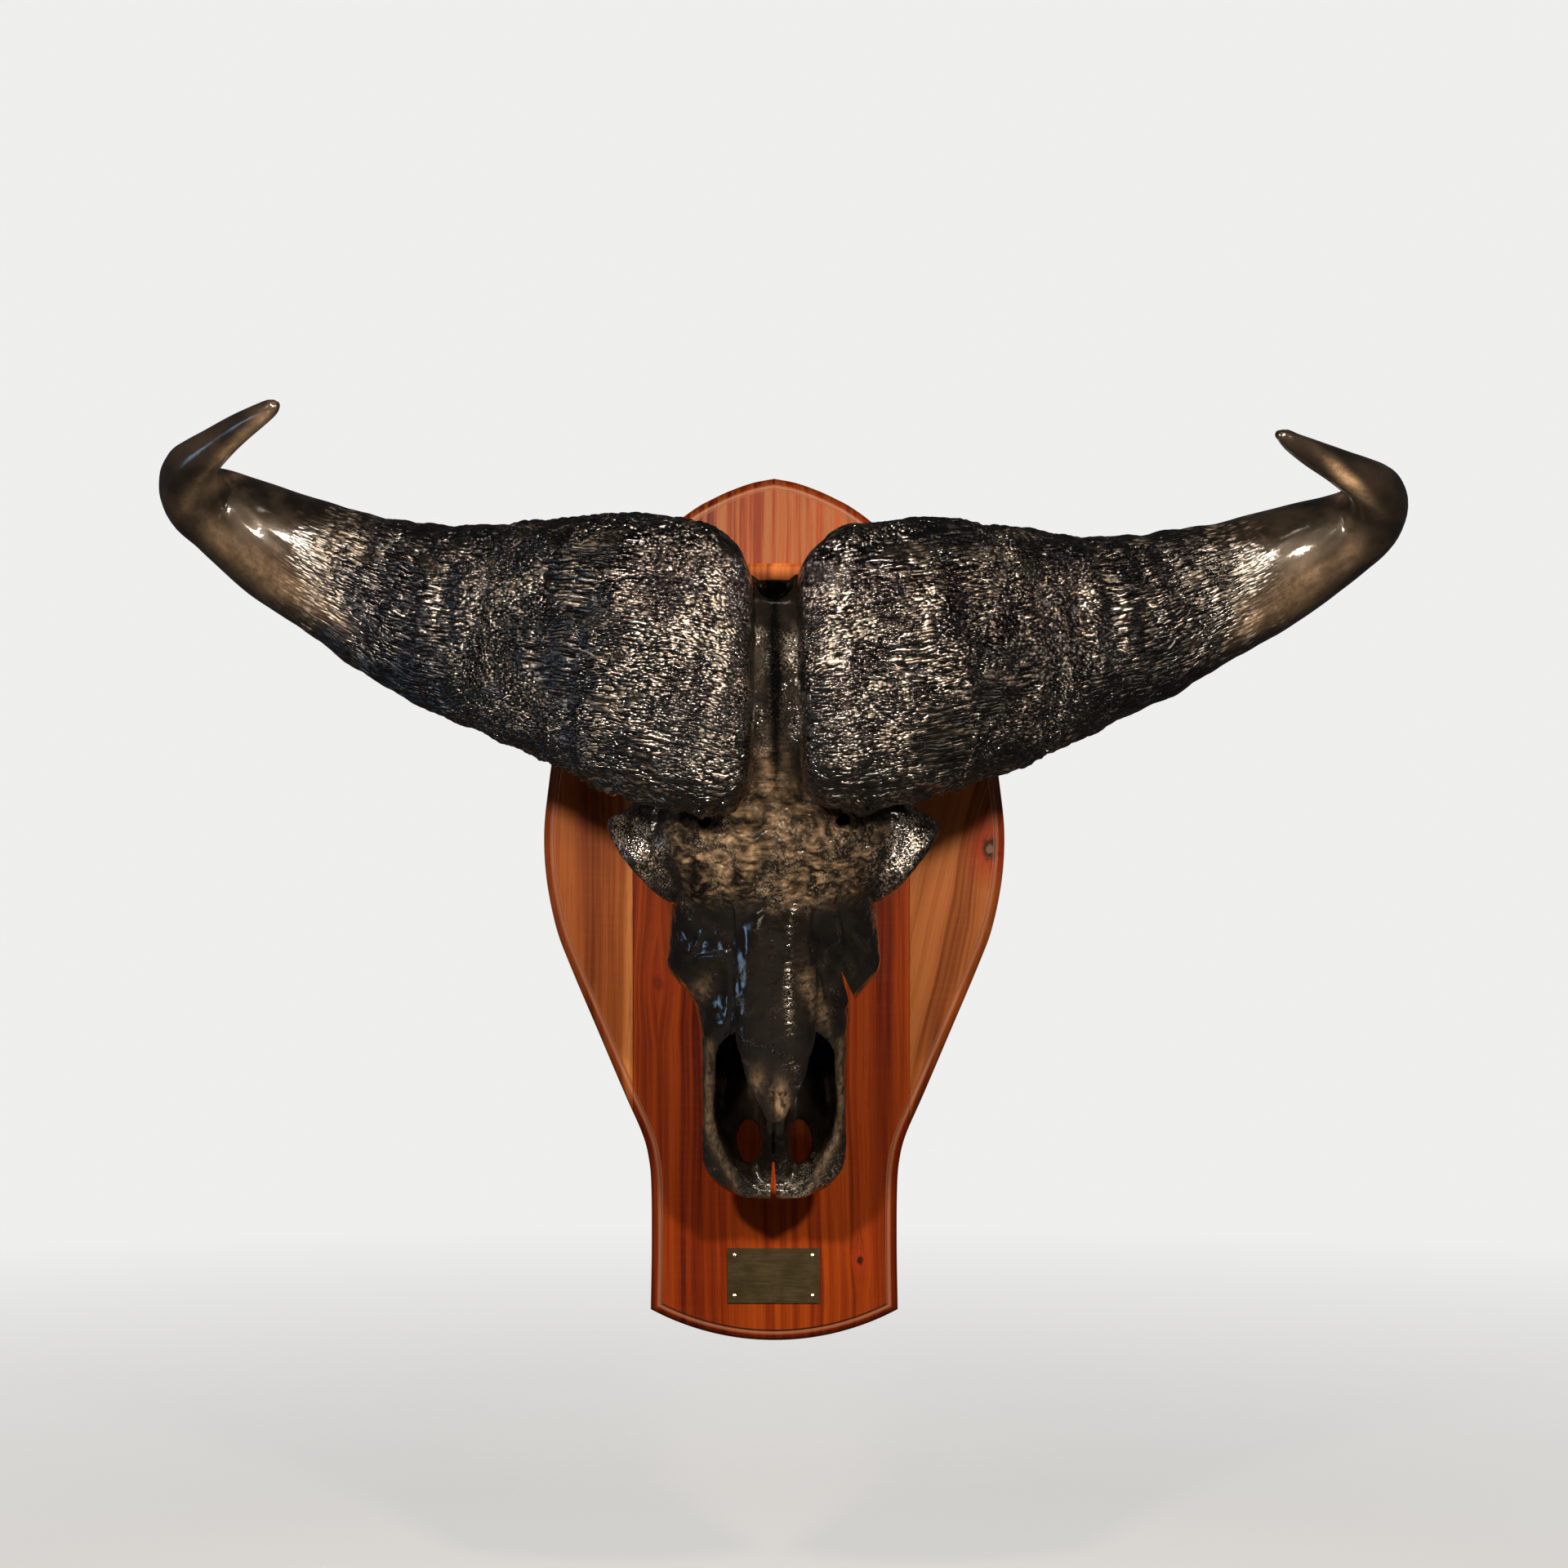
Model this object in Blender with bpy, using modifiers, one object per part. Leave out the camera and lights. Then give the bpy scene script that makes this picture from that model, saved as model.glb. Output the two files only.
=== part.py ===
"""Buffalo skull mount: the skull and horns of a Cape buffalo bull on a shield-shaped board.

Metres, +Z up. The origin is the middle of the board's back, X runs along the horns and the skull
faces -Y. "Out" is a distance in front of the board's face, so y = -(BOARD_THICKNESS + out).
"""
import math

import bmesh
import bpy
import numpy as np
from mathutils import Matrix, Vector

COLLECTION_NAME = "buffalo_skull_mount"
GAP = 0.0003                    # between pieces that touch

# Board: half widths at heights from the apex down to the lower corner
BOARD_THICKNESS = 0.025
BOARD_HALF_OUTLINE = [
    (0.0000, 0.3555), (0.0180, 0.3520), (0.0365, 0.3455), (0.0515, 0.3385), (0.0635, 0.3320),
    (0.0800, 0.3200), (0.1050, 0.2980), (0.1300, 0.2680), (0.1520, 0.2320), (0.1690, 0.1900),
    (0.1800, 0.1440), (0.1865, 0.1000), (0.1900, 0.0630), (0.1880, 0.0250), (0.1800, -0.0150),
    (0.1690, -0.0450), (0.1465, -0.0980), (0.1235, -0.1520), (0.1090, -0.1850), (0.1035, -0.2060),
    (0.1015, -0.2300), (0.1012, -0.2800), (0.1020, -0.3300)]
BOARD_FOOT_Z = -0.3555          # lowest point of the arc between the lower corners
BOARD_FOOT_STEPS = 8
MOULDING_WIDTH = 0.0095         # band round the raised field
MOULDING_STEP = 0.0020          # quirk between field and band
OVOLO_DROP = 0.0075             # height of the rounded edge
OVOLO_STEPS = 2
LEFT_SEAM_X = -0.1163
RIGHT_SEAM_X = 0.1115

# Pedestal that stands the skull off the board
PEDESTAL_WIDTH = 0.120
PEDESTAL_BOTTOM_Z = 0.105
PEDESTAL_TOP_Z = 0.281
PEDESTAL_OUT = 0.070
PEDESTAL_CHAMFER = 0.003

# Bolts from the back of the board, through the pedestal, into the base of the skull
BOLT_HEIGHTS = {"bolt_upper": 0.240, "bolt_lower": 0.145}
BOLT_RADIUS = 0.004
BOLT_REACH_OUT = 0.108
BOLT_HEAD_ACROSS = 0.013        # across flats
BOLT_HEAD_HEIGHT = 0.0053
WASHER_RADIUS = 0.012
WASHER_THICKNESS = 0.002
COUNTERBORE_RADIUS = 0.0135
COUNTERBORE_DEPTH = 0.009

ROUND_SIDES = 16                # sides of washers and counterbores
HOLE_SIDES = 10                 # sides of bolts, screws and their holes

# Name plate
PLATE_X = -0.0005
PLATE_Z = -0.3010
PLATE_WIDTH = 0.076
PLATE_HEIGHT = 0.045
PLATE_THICKNESS = 0.0012
PLATE_PIN_INSET = 0.006
PIN_HEAD_RADIUS = 0.0021
PIN_HEAD_HEIGHT = 0.0012
PIN_SHANK_RADIUS = 0.0008
PIN_SHANK_LENGTH = 0.010
PIN_SIDES = 6

# Hanger: a steel clip in a shallow recess in the back, hooked over its mate on the wall
HANGER_Z = 0.295
HANGER_WIDTH = 0.080
HANGER_SHEET = 0.0014
HANGER_UPPER = 0.022            # height of the flat that is screwed on
HANGER_TONGUE = 0.014           # height of the tongue that hooks
HANGER_OFFSET = 0.0034          # from the recess floor to the tongue's outer face
HANGER_JOGGLE = 0.004           # height of the slope between the flat and the tongue
HANGER_SCREW_X = 0.026
HANGER_SCREW_RADIUS = 0.0020
HANGER_SCREW_HEAD_RADIUS = 0.0045
HANGER_SCREW_LENGTH = 0.016
HANGER_SCREW_HEAD = 0.0012
RECESS_DEPTH = 0.0038
RECESS_MARGIN = 0.006
RECESS_DROP = 0.018             # room under the tongue for the wall clip to slide in

# Horns: x, out, z of the section's middle, half height, half depth
HORN_LEFT = [
    (-0.0145, 0.236, 0.170, 0.062, 0.030), (-0.0170, 0.237, 0.176, 0.080, 0.041),
    (-0.0230, 0.238, 0.180, 0.092, 0.049), (-0.0360, 0.237, 0.185, 0.105, 0.055),
    (-0.0600, 0.231, 0.192, 0.110, 0.057), (-0.0920, 0.219, 0.200, 0.108, 0.058),
    (-0.1240, 0.202, 0.208, 0.104, 0.058), (-0.1560, 0.180, 0.214, 0.096, 0.057),
    (-0.1900, 0.158, 0.221, 0.089, 0.055), (-0.2230, 0.140, 0.227, 0.081, 0.053),
    (-0.2560, 0.122, 0.234, 0.075, 0.051), (-0.2900, 0.105, 0.246, 0.067, 0.048),
    (-0.3240, 0.092, 0.260, 0.059, 0.045), (-0.3580, 0.082, 0.276, 0.052, 0.042),
    (-0.3920, 0.076, 0.292, 0.047, 0.040), (-0.4180, 0.075, 0.307, 0.042, 0.038),
    (-0.4410, 0.080, 0.320, 0.037, 0.035), (-0.4550, 0.090, 0.328, 0.031, 0.031),
    (-0.4615, 0.110, 0.337, 0.0268, 0.0275), (-0.4590, 0.134, 0.349, 0.0240, 0.0245),
    (-0.4480, 0.158, 0.359, 0.0203, 0.0210), (-0.4300, 0.180, 0.367, 0.0166, 0.0170),
    (-0.4090, 0.205, 0.379, 0.0126, 0.0130), (-0.3900, 0.226, 0.386, 0.0090, 0.0090),
    (-0.3805, 0.236, 0.389, 0.0062, 0.0062), (-0.3755, 0.2415, 0.3905, 0.0028, 0.0028)]
HORN_RIGHT = [
    (0.0190, 0.236, 0.176, 0.064, 0.030), (0.0215, 0.237, 0.181, 0.082, 0.041),
    (0.0275, 0.238, 0.184, 0.092, 0.049), (0.0410, 0.237, 0.187, 0.103, 0.055),
    (0.0640, 0.231, 0.192, 0.109, 0.057), (0.0950, 0.219, 0.197, 0.107, 0.058),
    (0.1270, 0.202, 0.204, 0.105, 0.058), (0.1600, 0.180, 0.207, 0.098, 0.057),
    (0.1930, 0.158, 0.214, 0.091, 0.055), (0.2260, 0.140, 0.219, 0.082, 0.053),
    (0.2600, 0.122, 0.227, 0.073, 0.051), (0.2930, 0.105, 0.236, 0.067, 0.048),
    (0.3270, 0.092, 0.248, 0.060, 0.045), (0.3610, 0.082, 0.260, 0.053, 0.042),
    (0.3950, 0.076, 0.274, 0.048, 0.040), (0.4250, 0.075, 0.288, 0.043, 0.038),
    (0.4530, 0.080, 0.300, 0.037, 0.035), (0.4700, 0.088, 0.312, 0.031, 0.031),
    (0.4770, 0.109, 0.324, 0.0268, 0.0275), (0.4715, 0.134, 0.335, 0.0240, 0.0245),
    (0.4580, 0.158, 0.342, 0.0203, 0.0210), (0.4380, 0.180, 0.349, 0.0166, 0.0170),
    (0.4150, 0.205, 0.357, 0.0126, 0.0130), (0.3975, 0.226, 0.363, 0.0090, 0.0090),
    (0.3885, 0.236, 0.3665, 0.0062, 0.0062), (0.3815, 0.2415, 0.3685, 0.0028, 0.0028)]
HORN_RINGS = 42
HORN_RING_POINTS = 22
HORN_SEEDS = {"horn_left": 5, "horn_right": 11}
HORN_SQUARE_END_X = 0.110       # sections stand square to X at the boss and turn with the horn by here
HORN_LEDGE_PITCH = 0.034        # growth ledges across the horn
HORN_LEDGE_HEIGHT = 0.0026
HORN_LUMP_HEIGHT = 0.0042       # scalloped lower edge
HORN_LUMP_PITCH = 0.046
HORN_PIT_DEPTH = 0.0030         # scattered pits and knobs of the rough bosses
HORN_RELIEF_END = 0.62          # share of the horn's length where the relief has died away
HORN_RELIEF_FADE = 0.22         # and the share over which it dies
HORN_BOSS_EDGE = 0.05           # share of the length over which it grows at the boss's inner edge
HORN_BOSS_POWER = 2.5           # squareness of the section at the boss, falling to the next value
HORN_MIDDLE_POWER = 2.1

# Skull: stacks of level sections: z, half width, out at back, middle and front, powers front and back
CRANIUM = [
    (0.263, 0.044, 0.098, 0.150, 0.186, 2.6, 2.6), (0.256, 0.058, 0.084, 0.150, 0.205, 2.6, 2.6),
    (0.236, 0.068, 0.074, 0.150, 0.216, 2.8, 2.4), (0.200, 0.073, 0.068, 0.160, 0.222, 3.0, 2.2),
    (0.150, 0.073, 0.068, 0.165, 0.225, 3.0, 2.0), (0.110, 0.076, 0.074, 0.170, 0.223, 2.8, 2.0),
    (0.080, 0.090, 0.084, 0.170, 0.220, 2.4, 2.0), (0.058, 0.098, 0.092, 0.165, 0.216, 2.2, 2.0),
    (0.038, 0.092, 0.092, 0.160, 0.212, 2.0, 2.2), (0.014, 0.072, 0.090, 0.150, 0.206, 2.0, 2.4),
    (-0.010, 0.050, 0.090, 0.140, 0.196, 2.0, 2.4)]
FACE = [
    (0.040, 0.060, 0.090, 0.125, 0.200, 2.0, 2.4), (0.020, 0.075, 0.066, 0.118, 0.198, 1.6, 3.0),
    (0.008, 0.079, 0.060, 0.114, 0.195, 1.4, 3.0), (-0.020, 0.083, 0.057, 0.110, 0.189, 1.3, 3.0),
    (-0.042, 0.087, 0.055, 0.108, 0.182, 1.3, 3.0), (-0.056, 0.079, 0.054, 0.106, 0.178, 1.4, 3.0),
    (-0.070, 0.064, 0.053, 0.104, 0.173, 1.7, 3.0), (-0.085, 0.060, 0.052, 0.102, 0.165, 2.0, 3.0),
    (-0.100, 0.059, 0.052, 0.098, 0.146, 2.4, 3.0), (-0.140, 0.058, 0.051, 0.088, 0.118, 2.6, 3.0),
    (-0.180, 0.058, 0.050, 0.078, 0.096, 2.6, 3.0), (-0.203, 0.056, 0.050, 0.072, 0.086, 2.6, 3.0),
    (-0.218, 0.046, 0.050, 0.066, 0.078, 2.6, 3.0), (-0.227, 0.032, 0.052, 0.062, 0.072, 2.6, 2.6),
    (-0.231, 0.016, 0.056, 0.060, 0.068, 2.2, 2.2)]
NASALS = [
    (0.022, 0.024, 0.170, 0.180, 0.203, 2.0, 2.0), (0.000, 0.030, 0.160, 0.178, 0.204, 2.2, 2.0),
    (-0.060, 0.033, 0.150, 0.164, 0.187, 2.2, 2.0), (-0.095, 0.031, 0.150, 0.158, 0.176, 2.2, 2.0),
    (-0.115, 0.025, 0.148, 0.154, 0.168, 2.0, 2.0), (-0.132, 0.017, 0.143, 0.149, 0.160, 2.0, 2.0),
    (-0.143, 0.010, 0.140, 0.145, 0.152, 2.0, 2.0)]
SEPTUM = [
    (-0.030, 0.006, 0.056, 0.110, 0.170, 3.0, 3.0), (-0.090, 0.006, 0.056, 0.100, 0.160, 3.0, 3.0),
    (-0.135, 0.008, 0.056, 0.090, 0.150, 3.0, 3.0), (-0.165, 0.010, 0.052, 0.075, 0.108, 2.6, 3.0),
    (-0.200, 0.012, 0.052, 0.066, 0.080, 2.4, 3.0)]
NASAL_CAVITY = [
    (0.000, 0.020, 0.090, 0.120, 0.150, 2.0, 2.0), (-0.040, 0.036, 0.075, 0.110, 0.152, 2.0, 2.4),
    (-0.085, 0.046, 0.066, 0.110, 0.156, 2.2, 2.8), (-0.100, 0.0485, 0.064, 0.120, 0.190, 3.0, 3.0),
    (-0.150, 0.0480, 0.062, 0.110, 0.180, 3.0, 3.0), (-0.180, 0.0450, 0.061, 0.100, 0.160, 3.0, 3.0),
    (-0.200, 0.0360, 0.061, 0.090, 0.140, 2.6, 3.0), (-0.210, 0.0230, 0.063, 0.085, 0.130, 2.4, 2.6)]
FISSURE_X = 0.0203              # palatine fissures, seen through the nostrils
FISSURE_Z = -0.185
FISSURE_HALF_WIDTH = 0.0090
FISSURE_HALF_HEIGHT = 0.0175
FISSURE_OUT = 0.055
PALATE_CUT = 0.030              # length of the cut through the palate
PREMAXILLA_GAP_HALF_WIDTH = 0.0020
PREMAXILLA_GAP_TOP_Z = -0.206
PREMAXILLA_GAP_BOX = (0.020, 0.120, -0.250)     # nearest and furthest out, and the bottom's z
ORBIT_CENTRE = (0.0990, 0.146, 0.046)
ORBIT_AXIS = (0.755, -0.170, -0.630)       # x, out, z of the direction the right eye socket faces
ORBIT_RING_RADIUS = 0.0335
ORBIT_RIM_RADIUS = 0.0085
ORBIT_TUBE_LENGTH = 0.052
ORBIT_TUBE_ROOT_RADIUS = 0.040
ORBIT_TUBE_FLARE = 0.004        # how much wider the tube is than the rim's middle circle
SOCKET_RADIUS = 0.0265
SOCKET_FLOOR_SHARE = 0.62       # the socket's floor as a share of its mouth
SOCKET_DEPTH = 0.040
CUT_MARGIN = 0.020              # how far a cutter stands clear of what it cuts
ARCH = [
    (0.062, 0.106, -0.046, 0.018, 0.016), (0.068, 0.104, -0.012, 0.020, 0.011),
    (0.073, 0.101, 0.025, 0.017, 0.008), (0.080, 0.100, 0.065, 0.015, 0.0075),
    (0.081, 0.100, 0.100, 0.014, 0.0075), (0.073, 0.104, 0.128, 0.016, 0.010),
    (0.058, 0.112, 0.145, 0.020, 0.014)]
MOLAR_COUNT = 6
MOLAR_PITCH = 0.0175
MOLAR_FIRST_Z = -0.066
MOLAR_X = 0.047
MOLAR_SIZE = (0.021, 0.0158)    # across and along the row
MOLAR_TIP_OUT = 0.027
MOLAR_ROOT_OUT = 0.075
MOLAR_ROW_BOW = 0.002           # how much each tooth stands in from the middle one
MOLAR_RADII = (0.62, 0.50)      # of the crown's grinding face and its root, as shares of its size
CONDYLE = (0.026, 0.100, 0.254)
CONDYLE_SIZE = (0.019, 0.021, 0.018)
PROCESS = [
    (0.066, 0.095, 0.235, 0.015, 0.011), (0.070, 0.070, 0.222, 0.013, 0.009),
    (0.071, 0.050, 0.208, 0.008, 0.007)]
PTERYGOID = [
    (0.024, 0.100, 0.062, 0.018, 0.004), (0.025, 0.080, 0.040, 0.024, 0.005),
    (0.026, 0.066, 0.012, 0.018, 0.006)]
FORAMEN_RADIUS = 0.015
FORAMEN_OUT = 0.123
FORAMEN_Z = 0.250
FORAMEN_DEPTH = 0.060
SUPRAORBITAL_X = 0.0530
SUPRAORBITAL_Z = 0.077
SUPRAORBITAL_RADIUS = 0.0052
SUPRAORBITAL_OUT = 0.205
SUPRAORBITAL_DEPTH = 0.040
SECTION_POINTS = 40
COARSE_VOXEL = 0.0034
SKULL_TRIANGLES = 3350
SKULL_CLEARANCE = 0.0005        # round the horns, which are let into the skull

# Colours, roughness and metallic value of each finish
FINISHES = {
    "dark_bronze_lacquer": ((0.030, 0.026, 0.022, 1.0), 0.28, 0.55),
    "red_kiaat": ((0.42, 0.12, 0.040, 1.0), 0.42, 0.0),
    "pale_kiaat": ((0.47, 0.23, 0.095, 1.0), 0.42, 0.0),
    "aged_brass": ((0.40, 0.32, 0.17, 1.0), 0.38, 1.0),
    "brass": ((0.66, 0.52, 0.28, 1.0), 0.28, 1.0),
    "zinc_steel": ((0.55, 0.56, 0.58, 1.0), 0.36, 1.0),
}


def clear_scene():
    for old in list(bpy.data.objects):
        bpy.data.objects.remove(old, do_unlink=True)


def make_collection(name):
    collection = bpy.data.collections.new(name)
    bpy.context.scene.collection.children.link(collection)
    return collection


def make_materials():
    materials = {}
    for name, (colour, roughness, metallic) in FINISHES.items():
        material = bpy.data.materials.new(name)
        material.use_nodes = True
        shader = material.node_tree.nodes["Principled BSDF"]
        shader.inputs["Base Color"].default_value = colour
        shader.inputs["Roughness"].default_value = roughness
        shader.inputs["Metallic"].default_value = metallic
        material.diffuse_color = colour
        materials[name] = material
    return materials


def at(x, out, z):
    """The point that stands `out` in front of the board's face."""
    return Vector((x, -(BOARD_THICKNESS + out), z))


def add_object(name, mesh, collection):
    thing = bpy.data.objects.new(name, mesh)
    collection.objects.link(thing)
    return thing


def hide_guide(thing):
    """Cutters and lofts that only shape other pieces stay out of the model."""
    thing.hide_render = True
    thing.display_type = 'WIRE'
    return thing


def mesh_from_bmesh(name, shape):
    bmesh.ops.recalc_face_normals(shape, faces=shape.faces[:])
    mesh = bpy.data.meshes.new(name)
    shape.to_mesh(mesh)
    shape.free()
    return mesh


def smooth_values(rows, steps):
    """Catmull-Rom curve through the rows of a table, read at `steps` even places."""
    table = np.array(rows, dtype=float)
    padded = np.vstack([2.0 * table[0] - table[1], table, 2.0 * table[-1] - table[-2]])
    places = np.linspace(0.0, len(table) - 1.0, steps)
    index = np.minimum(places.astype(int), len(table) - 2)
    share = (places - index)[:, None]
    p0, p1, p2, p3 = (padded[index + k] for k in range(4))
    return 0.5 * (2.0 * p1 + (p2 - p0) * share + (2.0 * p0 - 5.0 * p1 + 4.0 * p2 - p3) * share ** 2
                  + (3.0 * p1 - p0 - 3.0 * p2 + p3) * share ** 3)


def superellipse(count, half_width, front, back, power_front, power_back):
    """Outline of a section: `count` pairs of a place across and a place forward of its middle."""
    angle = np.arange(count) * 2.0 * math.pi / count
    cosine, sine = np.cos(angle), np.sin(angle)
    power = np.where(sine >= 0.0, power_front, power_back)
    reach = np.where(sine >= 0.0, front, back)
    across = half_width * np.sign(cosine) * np.abs(cosine) ** (2.0 / power)
    forward = reach * np.sign(sine) * np.abs(sine) ** (2.0 / power)
    return across, forward


def loft(name, rings, collection):
    """Closed skin over a row of rings with equal counts of points, with a flat fan at each end."""
    shape = bmesh.new()
    loops = [[shape.verts.new(point) for point in ring] for ring in rings]
    count = len(loops[0])
    for lower, upper in zip(loops, loops[1:]):
        for k in range(count):
            following = (k + 1) % count
            shape.faces.new((lower[k], lower[following], upper[following], upper[k]))
    for loop, ring in ((loops[0], rings[0]), (loops[-1], rings[-1])):
        middle = shape.verts.new(np.mean(ring, axis=0))
        for k in range(count):
            shape.faces.new((loop[k], loop[(k + 1) % count], middle))
    bmesh.ops.triangulate(shape, faces=shape.faces[:], quad_method='FIXED')
    return add_object(name, mesh_from_bmesh(name, shape), collection)


def level_stack(name, rows, steps, collection):
    """Loft of level sections, from a table like CRANIUM."""
    rings = []
    for z, half_width, back, middle, front, power_front, power_back in smooth_values(rows, steps):
        across, forward = superellipse(SECTION_POINTS, half_width, front - middle, middle - back,
                                       power_front, power_back)
        rings.append([at(a, middle + b, z) for a, b in zip(across, forward)])
    return loft(name, rings, collection)


def sweep_frames(centres, up=Vector((0.0, 0.0, 1.0))):
    """Direction, raised direction and sideways direction at each point of a path."""
    frames = []
    for k, centre in enumerate(centres):
        before = centres[max(k - 1, 0)]
        after = centres[min(k + 1, len(centres) - 1)]
        along = (after - before).normalized()
        raised = (up - up.dot(along) * along).normalized()
        frames.append((along, raised, along.cross(raised)))
    return frames


def bar(name, rows, side, collection, up, steps=14, count=16):
    """Rounded bar along a table of x, out, z, half height and half width, on one side."""
    values = smooth_values(rows, steps)
    centres = [at(side * x, out, z) for x, out, z, _, _ in values]
    rings = []
    for centre, frame, row in zip(centres, sweep_frames(centres, up), values):
        high, wide = superellipse(count, row[3], row[4], row[4], 2.4, 2.4)
        rings.append([centre + frame[1] * h + frame[2] * w for h, w in zip(high, wide)])
    return loft(name, rings, collection)


def ellipsoid(name, centre, size, collection, segments=20):
    shape = bmesh.new()
    bmesh.ops.create_uvsphere(shape, u_segments=segments, v_segments=segments // 2, radius=1.0,
                              matrix=Matrix.Translation(centre) @ Matrix.Diagonal((*size, 1.0)))
    return add_object(name, mesh_from_bmesh(name, shape), collection)


def rod(name, centre, axis, radius_start, radius_end, length, collection, segments=24):
    """Closed cone or cylinder with its middle at `centre`; radius_end is at the axis's far end."""
    shape = bmesh.new()
    turn = Vector(axis).to_track_quat('Z', 'Y').to_matrix().to_4x4()
    bmesh.ops.create_cone(shape, cap_ends=True, segments=segments, radius1=radius_start,
                          radius2=radius_end, depth=length,
                          matrix=Matrix.Translation(centre) @ turn)
    return add_object(name, mesh_from_bmesh(name, shape), collection)


def box(name, lowest, highest, collection):
    shape = bmesh.new()
    lowest, highest = Vector(lowest), Vector(highest)
    size = highest - lowest
    bmesh.ops.create_cube(shape, size=1.0, matrix=Matrix.Translation((lowest + highest) / 2.0)
                          @ Matrix.Diagonal((*size, 1.0)))
    return add_object(name, mesh_from_bmesh(name, shape), collection)


def settle(thing):
    """Replace an object's mesh with the one that its modifiers make."""
    seen = thing.evaluated_get(bpy.context.evaluated_depsgraph_get())
    mesh = bpy.data.meshes.new_from_object(seen)
    thing.modifiers.clear()
    old = thing.data
    thing.data = mesh
    bpy.data.meshes.remove(old)
    mesh.name = thing.name
    return thing


def cut(thing, cutters, operation='DIFFERENCE'):
    for cutter in cutters:
        knife = thing.modifiers.new(cutter.name, 'BOOLEAN')
        knife.operation = operation
        knife.solver = 'EXACT'
        knife.object = cutter
        settle(thing)
        hide_guide(cutter)
    return thing


def fuse(name, pieces, voxel, collection):
    """Grow overlapping solids together in one closed skin."""
    shape = bmesh.new()
    for piece in pieces:
        shape.from_mesh(piece.data)
    thing = add_object(name, mesh_from_bmesh(name, shape), collection)
    skin = thing.modifiers.new("skin", 'REMESH')
    skin.mode = 'VOXEL'
    skin.voxel_size = voxel
    soften = thing.modifiers.new("soften", 'SMOOTH')
    soften.factor = 0.5
    soften.iterations = 2
    return settle(thing)


# Horns

def horn_relief(place, length, angle, side, chance):
    """Height of ledges, lumps and pits at a place along the horn and an angle round the section.

    The angle is zero at the top of the section and grows towards the viewer's side.
    """
    travel = place / length
    fade = min(max((HORN_RELIEF_END - travel) / HORN_RELIEF_FADE, 0.0), 1.0)
    fade *= min(travel / HORN_BOSS_EDGE, 1.0)
    wander = 0.9 * np.sin(2.0 * angle + side) + 0.5 * np.sin(3.0 * angle)
    ledges = HORN_LEDGE_HEIGHT * np.sin(2.0 * math.pi * place / HORN_LEDGE_PITCH + wander)
    low_side = np.clip(-np.cos(angle), 0.0, 1.0) ** 4
    lumps = HORN_LUMP_HEIGHT * low_side * np.sin(2.0 * math.pi * place / HORN_LUMP_PITCH + side)
    pits = HORN_PIT_DEPTH * (chance.random(len(angle)) - 0.5)
    return fade * (ledges + lumps + pits)


def make_horn(name, rows, collection):
    """One horn with its boss."""
    values = smooth_values(rows, HORN_RINGS)
    side = 1.0 if rows[0][0] > 0.0 else -1.0
    centres = [at(x, out, z) for x, out, z, _, _ in values]
    places = np.cumsum([0.0] + [(b - a).length for a, b in zip(centres, centres[1:])])
    chance = np.random.default_rng(HORN_SEEDS[name])
    outward = Vector((side, 0.0, 0.0))
    up = Vector((0.0, 0.0, 1.0))
    angle = np.arange(HORN_RING_POINTS) * 2.0 * math.pi / HORN_RING_POINTS
    rings = []
    for place, centre, frame, row in zip(places, centres, sweep_frames(centres), values):
        turned = min(abs(row[0]) / HORN_SQUARE_END_X, 1.0)
        along = outward.lerp(frame[0], turned * turned).normalized()
        raised = (up - up.dot(along) * along).normalized()
        viewer = raised.cross(along) * side
        rounded = min(2.0 * place / places[-1], 1.0)
        power = HORN_BOSS_POWER + (HORN_MIDDLE_POWER - HORN_BOSS_POWER) * rounded
        relief = horn_relief(place, places[-1], angle, side, chance)
        high = (row[3] + relief) * np.sign(np.cos(angle)) * np.abs(np.cos(angle)) ** (2.0 / power)
        deep = (row[4] + relief) * np.sign(np.sin(angle)) * np.abs(np.sin(angle)) ** (2.0 / power)
        rings.append([centre + raised * h + viewer * d for h, d in zip(high, deep)])
    return loft(name, rings, collection)


def horn_room(horn, collection):
    """The horn grown by the clearance, to cut out of the skull."""
    room = add_object(horn.name + "_room", horn.data.copy(), collection)
    grown = room.modifiers.new("clearance", 'DISPLACE')
    grown.mid_level = 0.0
    grown.strength = SKULL_CLEARANCE
    return settle(room)


# Skull

def orbit_place(side):
    x, out, z = ORBIT_CENTRE
    across, away, rise = ORBIT_AXIS
    return at(side * x, out, z), Vector((side * across, -away, rise)).normalized()


def orbit_pieces(side, collection):
    """The tube of the eye socket and its rolled rim, before the socket is hollowed."""
    centre, axis = orbit_place(side)
    tube = rod("orbit_tube", centre - axis * ORBIT_TUBE_LENGTH / 2.0, axis, ORBIT_TUBE_ROOT_RADIUS,
               ORBIT_RING_RADIUS + ORBIT_TUBE_FLARE, ORBIT_TUBE_LENGTH, collection, 32)
    turn = axis.to_track_quat('Z', 'Y').to_matrix().to_4x4()
    bpy.ops.mesh.primitive_torus_add(major_radius=ORBIT_RING_RADIUS, minor_radius=ORBIT_RIM_RADIUS,
                                     major_segments=36, minor_segments=12)
    rim = bpy.context.active_object
    rim.name = "orbit_rim"
    rim.data.transform(Matrix.Translation(centre) @ turn)
    for owner in rim.users_collection:
        owner.objects.unlink(rim)
    collection.objects.link(rim)
    return [tube, rim]


def socket_cutter(side, collection):
    centre, axis = orbit_place(side)
    middle = centre + axis * (CUT_MARGIN - SOCKET_DEPTH) / 2.0
    return rod("socket", middle, axis, SOCKET_RADIUS * SOCKET_FLOOR_SHARE, SOCKET_RADIUS,
               SOCKET_DEPTH + CUT_MARGIN, collection)


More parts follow.
